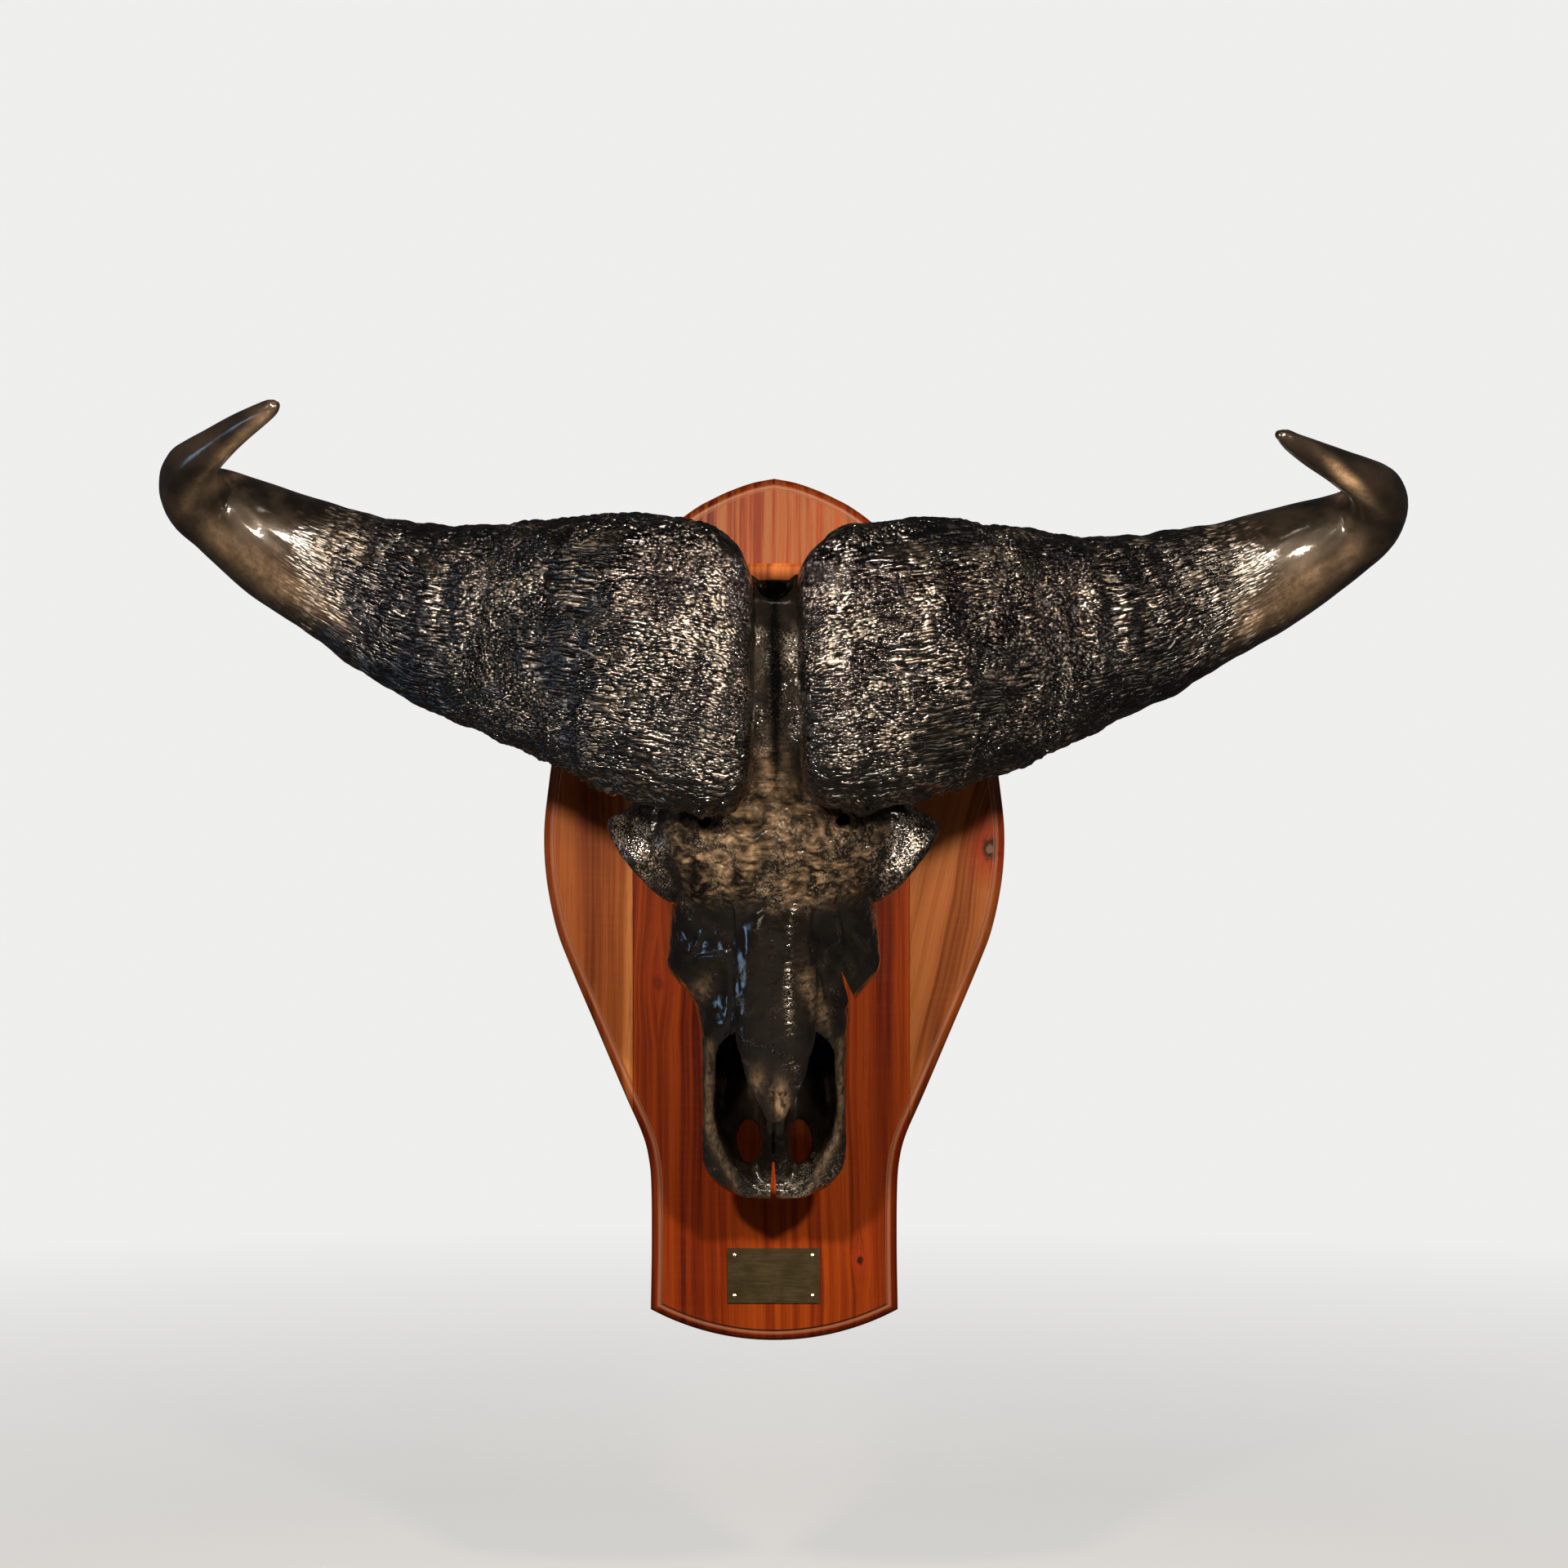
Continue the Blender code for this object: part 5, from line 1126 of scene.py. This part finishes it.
def makeSkull(material):
    forward, up = (0.0, -1.0, 0.0), (0.0, 0.0, 1.0)
    block = [gridMesh(name, levelRings(skullShape[name])) for name in ("cranium", "face")]
    skull = fuse(addPiece("skull", joinMeshes("skull", block)), skullShape["voxel"], 1)
    cutAway(skull, gridMesh("cavity", levelRings(skullShape["cavity"]) + skullShape["nasalShift"]))
    pieces = [skull.data] + [gridMesh(name, levelRings(skullShape[name]) + skullShape["nasalShift"])
                             for name in ("nasals", "septum")]
    for side in (-1.0, 1.0):
        pieces.append(gridMesh("orbit", orbitRings(side, orbit["profile"])))
        pieces += [gridMesh(name, barRings(rows, side, forward)) for name, rows in skullBars.items()]
        pieces.append(gridMesh("process", barRings(jugularProcess, side, up)))
        pieces += [gridMesh("tooth", toothRings(side, k)) for k in range(teeth["count"])]
        x, out, z = condyle["centre"]
        lobe = np.array([(math.sin(a), -math.cos(a)) for a in np.linspace(0.05, math.pi - 0.05, 16)])
        rings = turnedRings(lobe, (0.0, 0.0, 0.0), up, 32) * condyle["size"] + place(side * x, out, z)
        pieces.append(gridMesh("condyle", rings))
    skull.data = joinMeshes("skull", pieces)
    fuse(skull, skullShape["voxel"], 1)
    cutAway(skull, skullCutters())
    fuse(skull, skullShape["voxel"], 2)
    slits = [prismMesh(name, openings[name], *openings[name + "Out"]) for name in ("gap", "wedge")]
    cutAway(skull, joinMeshes("slits", slits))
    refineFront(skull.data)
    points, _ = meshNumbers(skull.data)
    normals = np.empty(len(points) * 3)
    skull.data.vertices.foreach_get("normal", normals)
    normals = normals.reshape(-1, 3)
    relief, looks = skullRelief(points, normals)
    moved = points + normals * relief[:, None]
    skull.data.vertices.foreach_set("co", moved.ravel())
    skull.data.update()
    for word, values in looks.items():
        storeValues(skull.data, word, values)
    low = points[:, 2:] < skullShape["rimTop"]
    storeValues(skull.data, "grain", np.where(low, points[:, ::-1], points))
    thin = skull.modifiers.new("thin", 'DECIMATE')
    thin.ratio = skullShape["triangles"] / len(skull.data.loop_triangles)
    settle(skull)
    skull.data.calc_loop_triangles()
    skull.name = "lacquered_skull"
    print("skull", len(skull.data.loop_triangles), "triangles")
    return finishPiece(skull, material, ["skull"])


makeSkull(lacquer(boneFinish))


# Board

board = {
    "thickness": 0.025,
    "halfOutline": [
        (0.0000, 0.3555), (0.0180, 0.3520), (0.0365, 0.3455), (0.0515, 0.3385), (0.0635, 0.3320),
        (0.0800, 0.3200), (0.1050, 0.2980), (0.1300, 0.2680), (0.1520, 0.2320), (0.1690, 0.1900),
        (0.1800, 0.1440), (0.1865, 0.1000), (0.1900, 0.0630), (0.1880, 0.0250), (0.1800, -0.0150),
        (0.1690, -0.0450), (0.1465, -0.0980), (0.1235, -0.1520), (0.1090, -0.1850), (0.1035, -0.2060),
        (0.1015, -0.2300), (0.1012, -0.2800), (0.1020, -0.3300)],
    "outlinePoints": 150,
    "footZ": -0.3555,
    "footPoints": 60,
    "mouldingWidth": 0.0095,
    "mouldingStep": 0.0020,
    "ovoloDrop": 0.0075,
    "ovoloPoints": 8,
    "edgeRound": 0.0008,
    "cornerRoom": 0.009,
    "seams": (-0.1163, 0.1115),
    "gap": 0.0003,
    "boltHole": 0.0043,
    "screwHole": 0.0023,
    "pinHole": 0.0011,
    "boreMargin": 0.0015,
    "boreSpan": (0.0005, 0.019),    # middle along y and length of a hole's cutter
    "shaftSpan": (-0.020, 0.040),
    "pilotSpan": (-0.010, 0.022),
    "pinSpan": (0.003, 0.014),      # here the middle is behind the board's front
    "recessDepth": 0.0038,
    "recessMargin": 0.006,
    "recessDrop": 0.018,
}


# half outline by Catmull-Rom, mirrored, with an arc between the lower corners
def boardOutline():
    rows = board["halfOutline"]
    half = smoothRows(rows, np.linspace(0.0, len(rows) - 1.0, board["outlinePoints"]))
    cornerX, cornerZ = rows[-1]
    rise = cornerZ - board["footZ"]
    radius = (cornerX ** 2 + rise ** 2) / (2.0 * rise)
    reach = math.asin(cornerX / radius)
    angle = np.linspace(reach, -reach, board["footPoints"])[1:-1]
    foot = np.stack([radius * np.sin(angle), board["footZ"] + radius * (1.0 - np.cos(angle))], axis=-1)
    left = half[:0:-1] * (-1.0, 1.0)
    outline = np.vstack([half, foot, left])
    keep = np.ones(len(outline), dtype=bool)
    for corner in ((cornerX, cornerZ), (-cornerX, cornerZ)):
        gap = np.linalg.norm(outline - corner, axis=1)
        keep &= (gap > board["cornerRoom"]) | (gap < 1e-9)
    return outline[keep]


# the outline moved in by a distance, with mitred corners
def insetOutline(outline, distance):
    before = outline - np.roll(outline, 1, axis=0)
    after = np.roll(outline, -1, axis=0) - outline
    sides = [np.stack([-edge[:, 1], edge[:, 0]], axis=-1) for edge in (unit(before), unit(after))]
    mitre = (sides[0] + sides[1]) / (1.0 + np.sum(sides[0] * sides[1], axis=1))[:, None]
    return outline - distance * mitre


# profile from the back edge forward: flat edge, ovolo (quarter circle), quirk, raised field
def boardProfile():
    step, drop, edge = board["mouldingStep"], board["ovoloDrop"], board["edgeRound"]
    thickness, band = board["thickness"], board["mouldingWidth"] - board["mouldingStep"]
    shoulder = thickness - step - drop
    rows = [(edge, 0.0), (edge * 0.3, edge * 0.3), (0.0, edge), (0.0, shoulder)]
    for angle in np.linspace(0.0, math.pi / 2.0, board["ovoloPoints"])[1:]:
        rows.append((band * (1.0 - math.cos(angle)), shoulder + drop * math.sin(angle)))
    rows += [(band + step * 0.35, thickness - step * 1.15), (band + step * 0.75, thickness - step * 1.1),
             (band + step, thickness - step * 0.9), (band + step * 1.05, thickness - step * 0.25),
             (band + step * 1.3, thickness)]
    return rows


def boardBlank():
    outline = boardOutline()
    rings = [np.insert(insetOutline(outline, distance), 1, -depth, axis=1)
             for distance, depth in boardProfile()]
    return gridMesh("boardBlank", np.array(rings))


# the blank between two seams, its cut sides closed
def slicePlank(blank, name, low, high):
    shape = bmesh.new()
    shape.from_mesh(blank)
    for seam, towards in ((low, -1.0), (high, 1.0)):
        if seam is None:
            continue
        everything = shape.verts[:] + shape.edges[:] + shape.faces[:]
        cut = bmesh.ops.bisect_plane(shape, geom=everything, plane_co=(seam, 0.0, 0.0),
                                     plane_no=(towards, 0.0, 0.0), clear_outer=True)
        rim = [item for item in cut["geom_cut"] if isinstance(item, bmesh.types.BMEdge)]
        bmesh.ops.contextual_create(shape, geom=rim)
    bmesh.ops.recalc_face_normals(shape, faces=shape.faces[:])
    bmesh.ops.triangulate(shape, faces=[face for face in shape.faces if len(face.verts) > 4])
    return faceOutwards(meshFrom(shape, name))


# streaks: x, half width, strength, tint; knots: x, z, radius, strength, strength of the pale heart
woodLook = {
    "centre": {
        "light": (0.275, 0.043, 0.0036, 1.0), "middle": (0.168, 0.0195, 0.0016, 1.0),
        "dark": (0.066, 0.0052, 0.0009, 1.0), "pale": (0.225, 0.082, 0.025, 1.0), "lean": 0.0, "bands": 26.0,
        "streaks": [(0.0880, 0.0055, 0.40, "dark"), (-0.1055, 0.0050, 0.40, "dark"),
                    (0.0625, 0.0022, 0.55, "dark"), (-0.0600, 0.0025, 0.30, "dark"),
                    (0.0755, 0.0050, 0.45, "light"), (-0.0820, 0.0060, 0.35, "light"),
                    (-0.0250, 0.0090, 0.35, "light")],
        "knots": [(-0.0960, -0.060, 0.0060, 0.45, 0.0), (0.0705, -0.2885, 0.0034, 1.0, 0.0)],
        # topLightShare: how strongly the board is painted paler towards its top, a painted pool of lamp light;
        # on this board pale is that painted light's tint
        "topLightShare": 0.85,
    },
    "left": {
        "light": (0.35, 0.102, 0.0225, 1.0), "middle": (0.25, 0.061, 0.0120, 1.0),
        "dark": (0.130, 0.0240, 0.0048, 1.0), "pale": (0.48, 0.175, 0.050, 1.0), "lean": 0.02, "bands": 34.0,
        "streaks": [(-0.1500, 0.0040, 0.30, "dark"), (-0.1290, 0.0025, 0.30, "dark"),
                    (-0.1215, 0.0042, 0.85, "pale"), (-0.1700, 0.0080, 0.40, "light")],
        "knots": [],
        "topLightShare": 0.0,
    },
    "right": {
        "light": (0.37, 0.121, 0.0320, 1.0), "middle": (0.27, 0.078, 0.0180, 1.0),
        "dark": (0.140, 0.0300, 0.0062, 1.0), "pale": (0.48, 0.185, 0.060, 1.0), "lean": -0.24, "bands": 30.0,
        "streaks": [(0.1600, 0.0045, 0.30, "dark"), (0.1320, 0.0080, 0.40, "light")],
        "knots": [(0.1780, 0.050, 0.0085, 1.0, 0.6)],
        "topLightShare": 0.0,
    },
}
grainLook = {
    "bend": (6.0, 6.0, 3.2), "bendReach": 0.030, "bands": (12.0, 0.7), "lines": (210.0, 60.0, 3.0),
    "pores": (1100.0, 500.0, 26.0), "ripple": (26.0, 12.0, 330.0),
}
knotLook = {
    "ring": (0.26, 0.026, 0.006, 1.0), "dark": (0.030, 0.008, 0.004, 1.0), "heart": (0.24, 0.15, 0.105, 1.0),
    "raggedScale": 190.0,
}

# heights above the board's back; the moulding is deeper in colour than the field, and the pale lines along
# its two edges are painted highlights
woodEdge = {
    "field": 0.0247, "quirk": 0.0230, "share": 0.80, "shade": (0.52, 0.32, 0.17, 1.0),
    "lines": [(0.0165, 0.0020, 0.75), (0.0237, 0.0012, 0.70)], "wearAndHighlight": (0.62, 0.300, 0.170, 1.0),
}


# a reddish ring, a dark knot and a pale heart, each a ramp in the distance from the middle, ragged by noise
def woodKnot(tree, spot, colour, knotX, knotZ, radius, strength, heart):
    shifted = vectorNode(tree, 'SUBTRACT', spot, (knotX, 0.0, knotZ))
    flat = vectorNode(tree, 'MULTIPLY', shifted, (1.0, 0.0, 0.7))
    gap = vectorNode(tree, 'LENGTH', flat, output="Value")
    rough = minus(tree, noiseNode(tree, spot, knotLook["raggedScale"], 3.0), 0.5)
    ragged = plus(tree, gap, times(tree, rough, radius * 1.1))
    steps = ((3.0, 1.0, strength * 0.85, "ring"), (0.95, 0.55, strength, "dark"), (0.42, 0.25, heart, "heart"))
    for far, near, most, tint in steps:
        share = mapRange(tree, ragged, radius * far, radius * near, 0.0, most)
        colour = mixColour(tree, share, colour, knotLook[tint])
    return colour


# grain runs along z, leaning by dx per dz and bending round the knots; bands, streaks and pores are noise
# stretched along it
def woodMaterial(name, look):
    material, tree, shader = newMaterial(name)
    spot = addNode(tree, "TexCoord").outputs["Object"]
    bend = noiseNode(tree, stretched(tree, spot, grainLook["bend"]), 1.0, 2.0, 0.5)
    x, y, z = addNode(tree, "SeparateXYZ", {0: spot}).outputs
    around = times(tree, minus(tree, bend, 0.5), grainLook["bendReach"])
    across = plus(tree, plus(tree, x, around), times(tree, z, look["lean"]))
    for knotX, knotZ, radius, _, _ in look["knots"]:
        dx = minus(tree, x, knotX)
        dz = times(tree, minus(tree, z, knotZ), 0.45)
        gap = mathNode(tree, 'SQRT', plus(tree, times(tree, dx, dx), times(tree, dz, dz)))
        push = mapRange(tree, gap, 0.0, radius * 4.0, radius * 1.3, 0.0)
        across = minus(tree, across, times(tree, push, mathNode(tree, 'SIGN', dx)))
    flow = addNode(tree, "CombineXYZ", {0: across, 1: y, 2: z}).outputs[0]
    bands = noiseNode(tree, stretched(tree, flow, (look["bands"], *grainLook["bands"])), 1.0, 3.0, 0.6)
    lines = noiseNode(tree, stretched(tree, flow, grainLook["lines"]), 1.0, 3.0, 0.6)
    pores = noiseNode(tree, stretched(tree, flow, grainLook["pores"]), 1.0, 2.0, 0.6)
    ripple = noiseNode(tree, stretched(tree, flow, grainLook["ripple"]), 1.0, 2.0, 0.5)
    ramp = addNode(tree, "ValToRGB", {0: plus(tree, times(tree, bands, 0.52), times(tree, lines, 0.48))})
    stops = ramp.color_ramp.elements
    stops[0].position, stops[0].color = 0.38, look["dark"]
    stops[1].position, stops[1].color = 0.60, look["light"]
    stops.new(0.48).color = look["middle"]
    height = plus(tree, z, times(tree, lines, 0.06))
    # painted light: near the top the colour is mixed towards pale, as if the lamps fell strongest there
    paintedTopLight = mapRange(tree, height, 0.23, 0.31, 0.0, look["topLightShare"])
    pale = times(tree, paintedTopLight, mapRange(tree, lines, 0.44, 0.60))
    colour = mixColour(tree, pale, ramp.outputs[0], look["pale"])
    for streakX, halfWidth, strength, tint in look["streaks"]:
        gap = mathNode(tree, 'ABSOLUTE', minus(tree, across, streakX))
        edge = plus(tree, gap, times(tree, lines, halfWidth * 1.2))
        share = mapRange(tree, edge, halfWidth * 1.9, halfWidth * 0.9, 0.0, strength)
        colour = mixColour(tree, share, colour, look[tint])
    for knot in look["knots"]:
        colour = woodKnot(tree, spot, colour, *knot)
    colour = mixColour(tree, mapRange(tree, pores, 0.56, 0.74, 0.0, 0.55), colour, look["dark"])
    colour = mixColour(tree, mapRange(tree, ripple, 0.52, 0.70, 0.0, 0.07), colour, look["light"])
    moulded = mapRange(tree, y, -woodEdge["field"], -woodEdge["quirk"], 0.0, woodEdge["share"])
    colour = mixColour(tree, moulded, colour, woodEdge["shade"], 'MULTIPLY')
    # painted highlights: thin pale lines along the moulding's two edges
    for depth, halfWidth, strength in woodEdge["lines"]:
        gap = mathNode(tree, 'ABSOLUTE', plus(tree, y, depth))
        colour = mixColour(tree, mapRange(tree, gap, 0.0, halfWidth, strength, 0.0), colour, woodEdge["wearAndHighlight"])
    fill(tree, shader, {
        "Base Color": colour,
        "Roughness": mapRange(tree, pores, 0.3, 0.75, 0.30, 0.46),
        "Specular IOR Level": 0.12,
        "Normal": bumpNode(tree, plus(tree, times(tree, pores, -0.7), lines), 0.35, 0.0004),
    })
    return material


def boardCutters():
    backwards = (0.0, 1.0, 0.0)
    meshes = []

    def addHole(word, nodeName, radius, span, around, face=0.0):
        low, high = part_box(nodeName)
        middle = ((low.x + high.x) / 2.0, face + span[0], (low.z + high.z) / 2.0)
        meshes.append(gridMesh(word, rodRings(middle, backwards, radius, span[1], around)))

    low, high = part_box("washer_upper")
    bore = (high.x - low.x) / 2.0 + board["boreMargin"]
    for name in ("bolt_upper", "bolt_lower"):
        addHole("bore", name, bore, board["boreSpan"], 64)
        addHole("shaft", name, board["boltHole"], board["shaftSpan"], 32)
    low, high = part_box("hanger_clip")
    margin = board["recessMargin"]
    meshes.append(boxMesh("recess", (low.x - margin, -board["recessDepth"], low.z - board["recessDrop"]),
                          (high.x + margin, 0.010, high.z + margin)))
    for name in ("hanger_screw_left", "hanger_screw_right"):
        addHole("pilot", name, board["screwHole"], board["pilotSpan"], 24)
    for k in range(1, 5):
        addHole("pinHole", "nameplate_pin_%d" % k, board["pinHole"], board["pinSpan"], 16, boardFace)
    return joinMeshes("boardCutters", meshes)


def makeBoards():
    blank = boardBlank()
    left, right = board["seams"]
    half = board["gap"] / 2.0
    spans = {
        "left": (None, left - half),
        "centre": (left + half, right - half),
        "right": (right + half, None),
    }
    for word, (low, high) in spans.items():
        plank = addPiece("plank_" + word, slicePlank(blank, "plank_" + word, low, high))
        if word == "centre":
            cutAway(plank, boardCutters())
        wood = woodMaterial(word + " board wood", woodLook[word])
        finishPiece(plank, wood, ["board_" + word], 40.0)
        print("plank", word, len(plank.data.polygons), "faces")


makeBoards()
# painted light: the pedestal's wood is lighter than the left board's, standing in for lamp light reaching it
# between the bosses
pedestalLitLook = dict(woodLook["left"], streaks=[], light=(0.52, 0.145, 0.032, 1.0),
                    middle=(0.38, 0.088, 0.016, 1.0))
dress(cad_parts["pedestal"], woodMaterial("pedestal wood painted lighter", pedestalLitLook))


# Brass and steel

def metalMaterial(name, colour, dull, roughness, brushed):
    material, tree, shader = newMaterial(name)
    spot = addNode(tree, "TexCoord").outputs["Object"]
    scratches = noiseNode(tree, stretched(tree, spot, brushed), 1.0, 3.0, 0.6)
    tarnish = mapRange(tree, noiseNode(tree, spot, 60.0, 4.0, 0.6), 0.35, 0.70)
    fill(tree, shader, {
        "Base Color": mixColour(tree, tarnish, colour, dull),
        "Metallic": 1.0,
        "Roughness": mapRange(tree, scratches, 0.30, 0.70, roughness - 0.07, roughness + 0.10),
        "Normal": bumpNode(tree, scratches, 0.15, 0.0002),
    })
    return material


agedBrass = metalMaterial("aged brushed brass", (0.118, 0.086, 0.042, 1.0), (0.070, 0.050, 0.024, 1.0), 0.42,
                          (60.0, 60.0, 2600.0))
brightBrass = metalMaterial("polished brass", (0.86, 0.66, 0.36, 1.0), (0.70, 0.50, 0.26, 1.0), 0.22,
                            (300.0, 300.0, 300.0))
zincSteel = metalMaterial("zinc plated steel", (0.60, 0.61, 0.63, 1.0), (0.46, 0.47, 0.50, 1.0), 0.34,
                          (240.0, 240.0, 240.0))

for nodeName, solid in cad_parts.items():
    if nodeName == "nameplate":
        finish = agedBrass
    elif nodeName.startswith("nameplate_pin"):
        finish = brightBrass
    elif nodeName.startswith(("bolt", "washer", "hanger")):
        finish = zincSteel
    else:
        continue
    dress(solid, finish)


# Floor, light and camera

stageLook = {
    "floorZ": -0.62, "floorRadius": 3.2, "floorRings": (0.25, 0.5, 1.0), "floorPoints": 96,
    "floorRoughness": 0.8, "glow": 0.72, "fadeOut": (1.0, 3.0),
    "pale": (0.80, 0.79, 0.77, 1.0), "shaded": (0.22, 0.217, 0.212, 1.0),
    "reflected": (0.10, 0.095, 0.09, 1.0),
    "shown": (0.86, 0.86, 0.85, 1.0), "felt": (0.85, 0.88, 0.95, 1.0), "feltStrength": 0.035,
}


def makeFloor():
    angle = turnAngles(stageLook["floorPoints"])
    radius = stageLook["floorRadius"] * np.array(stageLook["floorRings"])[:, None]
    rings = xyz(radius * np.cos(angle), radius * np.sin(angle), stageLook["floorZ"])
    index = np.arange(len(rings) * len(angle)).reshape(len(rings), len(angle))
    mesh = bpy.data.meshes.new("floor")
    mesh.from_pydata(rings.reshape(-1, 3).tolist(), [], ringFaces(index) + [index[0].tolist()])
    floor = bpy.data.objects.new("floor", mesh)
    bpy.context.scene.collection.objects.link(floor)
    material, tree, shader = newMaterial("pale floor")
    spot = addNode(tree, "TexCoord").outputs["Object"]
    away = vectorNode(tree, 'LENGTH', spot, output="Value")
    seen = addNode(tree, "LightPath").outputs["Is Camera Ray"]
    fill(tree, shader, {
        "Base Color": mixColour(tree, seen, stageLook["reflected"], stageLook["shaded"]),
        "Roughness": stageLook["floorRoughness"],
        "Emission Color": stageLook["pale"],
        "Emission Strength": times(tree, seen, stageLook["glow"]),
        "Alpha": mapRange(tree, away, *stageLook["fadeOut"], 1.0, 0.0),
    })
    mesh.materials.append(material)


# the camera sees one colour, the surfaces feel another, much weaker
def makeWorld():
    world = bpy.data.worlds.new("studio")
    bpy.context.scene.world = world
    world.use_nodes = True
    tree = world.node_tree
    seen = addNode(tree, "LightPath").outputs["Is Camera Ray"]
    shown = addNode(tree, "Background", {"Color": stageLook["shown"], "Strength": 1.0}).outputs[0]
    felt = addNode(tree, "Background", {"Color": stageLook["felt"], "Strength": stageLook["feltStrength"]})
    blend = addNode(tree, "MixShader", {0: seen, 1: felt.outputs[0], 2: shown}).outputs[0]
    tree.links.new(blend, tree.nodes["World Output"].inputs["Surface"])


# place, aim, size, power, colour, spread in degrees
warm = (1.0, 0.89, 0.75)
studioLights = {
    "key left": ((-0.44, -1.26, 0.50), (0.0, -0.12, 0.05), (0.10, 0.09), 18.0, warm, 180.0),
    "key right": ((0.46, -1.26, 0.49), (0.0, -0.12, 0.05), (0.10, 0.09), 18.0, warm, 180.0),
    "horn left": ((-0.82, -1.15, 0.85), (-0.340, -0.14, 0.27), (0.16, 0.14), 0.22, warm, 20.0),
    "horn right": ((0.84, -1.15, 0.82), (0.350, -0.14, 0.25), (0.16, 0.14), 0.22, warm, 20.0),
    "palate": ((0.0, -2.60, -0.80), (0.0, -0.05, -0.160), (0.06, 0.06), 0.009, warm, 3.0),
    "high": ((0.05, -1.60, 1.90), (0.0, -0.10, 0.10), (0.30, 0.24), 1.5, warm, 180.0),
    "front left": ((-0.95, -2.60, 0.85), (0.0, -0.15, 0.0), (0.22, 0.20), 0.6, warm, 180.0),
    "front right": ((1.05, -2.60, 0.80), (0.0, -0.15, 0.0), (0.22, 0.20), 0.6, warm, 180.0),
    "far left": ((-2.30, -1.20, 0.80), (0.0, -0.15, 0.15), (0.30, 0.26), 4.0, warm, 180.0),
    "far right": ((2.30, -1.20, 0.80), (0.0, -0.15, 0.15), (0.30, 0.26), 4.0, warm, 180.0),
    "low left": ((-1.30, -2.10, -0.85), (0.0, -0.15, 0.15), (0.22, 0.20), 0.9, warm, 180.0),
    "low right": ((1.20, -2.10, -0.95), (0.0, -0.15, 0.15), (0.22, 0.20), 0.9, warm, 180.0),
    "back left": ((-0.25, 1.70, 0.15), (0.0, 0.0, 0.08), (0.50, 0.50), 0.6, (1.0, 0.95, 0.90), 50.0),
    "back right": ((0.25, 1.70, 0.15), (0.0, 0.0, 0.08), (0.50, 0.50), 0.6, (1.0, 0.95, 0.90), 50.0),
    "cool": ((-2.60, -1.10, -0.15), (-0.05, -0.15, 0.0), (0.80, 0.90), 0.7, (0.28, 0.52, 1.0), 180.0),
    "cool cheek": ((-2.50, -0.40, -0.70), (-0.060, -0.180, -0.020), (0.90, 1.10), 0.15, (0.40, 0.66, 1.0),
                   18.0),
}


def makeLights():
    for name, (spot, aim, size, power, colour, spread) in studioLights.items():
        data = bpy.data.lights.new(name, 'AREA')
        data.shape = 'RECTANGLE'
        data.size, data.size_y = size
        data.energy = power
        data.color = colour
        data.spread = math.radians(spread)
        lamp = bpy.data.objects.new(name, data)
        lamp.location = spot
        lamp.visible_glossy = not name.startswith("back")       # the two behind make no highlights
        lamp.rotation_euler = (Vector(aim) - Vector(spot)).to_track_quat('-Z', 'Y').to_euler()
        bpy.context.scene.collection.objects.link(lamp)


cameraLook = {"place": (0.00806, -3.025, 0.1035), "lens": 83.7, "sensor": 36.0}


def makeCamera():
    data = bpy.data.cameras.new("camera")
    data.sensor_width = cameraLook["sensor"]
    data.lens = cameraLook["lens"]
    camera = bpy.data.objects.new("camera", data)
    camera.location = cameraLook["place"]
    camera.rotation_euler = (math.pi / 2.0, 0.0, 0.0)
    bpy.context.scene.collection.objects.link(camera)
    bpy.context.scene.camera = camera


makeFloor()
makeWorld()
makeLights()
makeCamera()
bpy.context.scene.view_settings.view_transform = 'Standard'
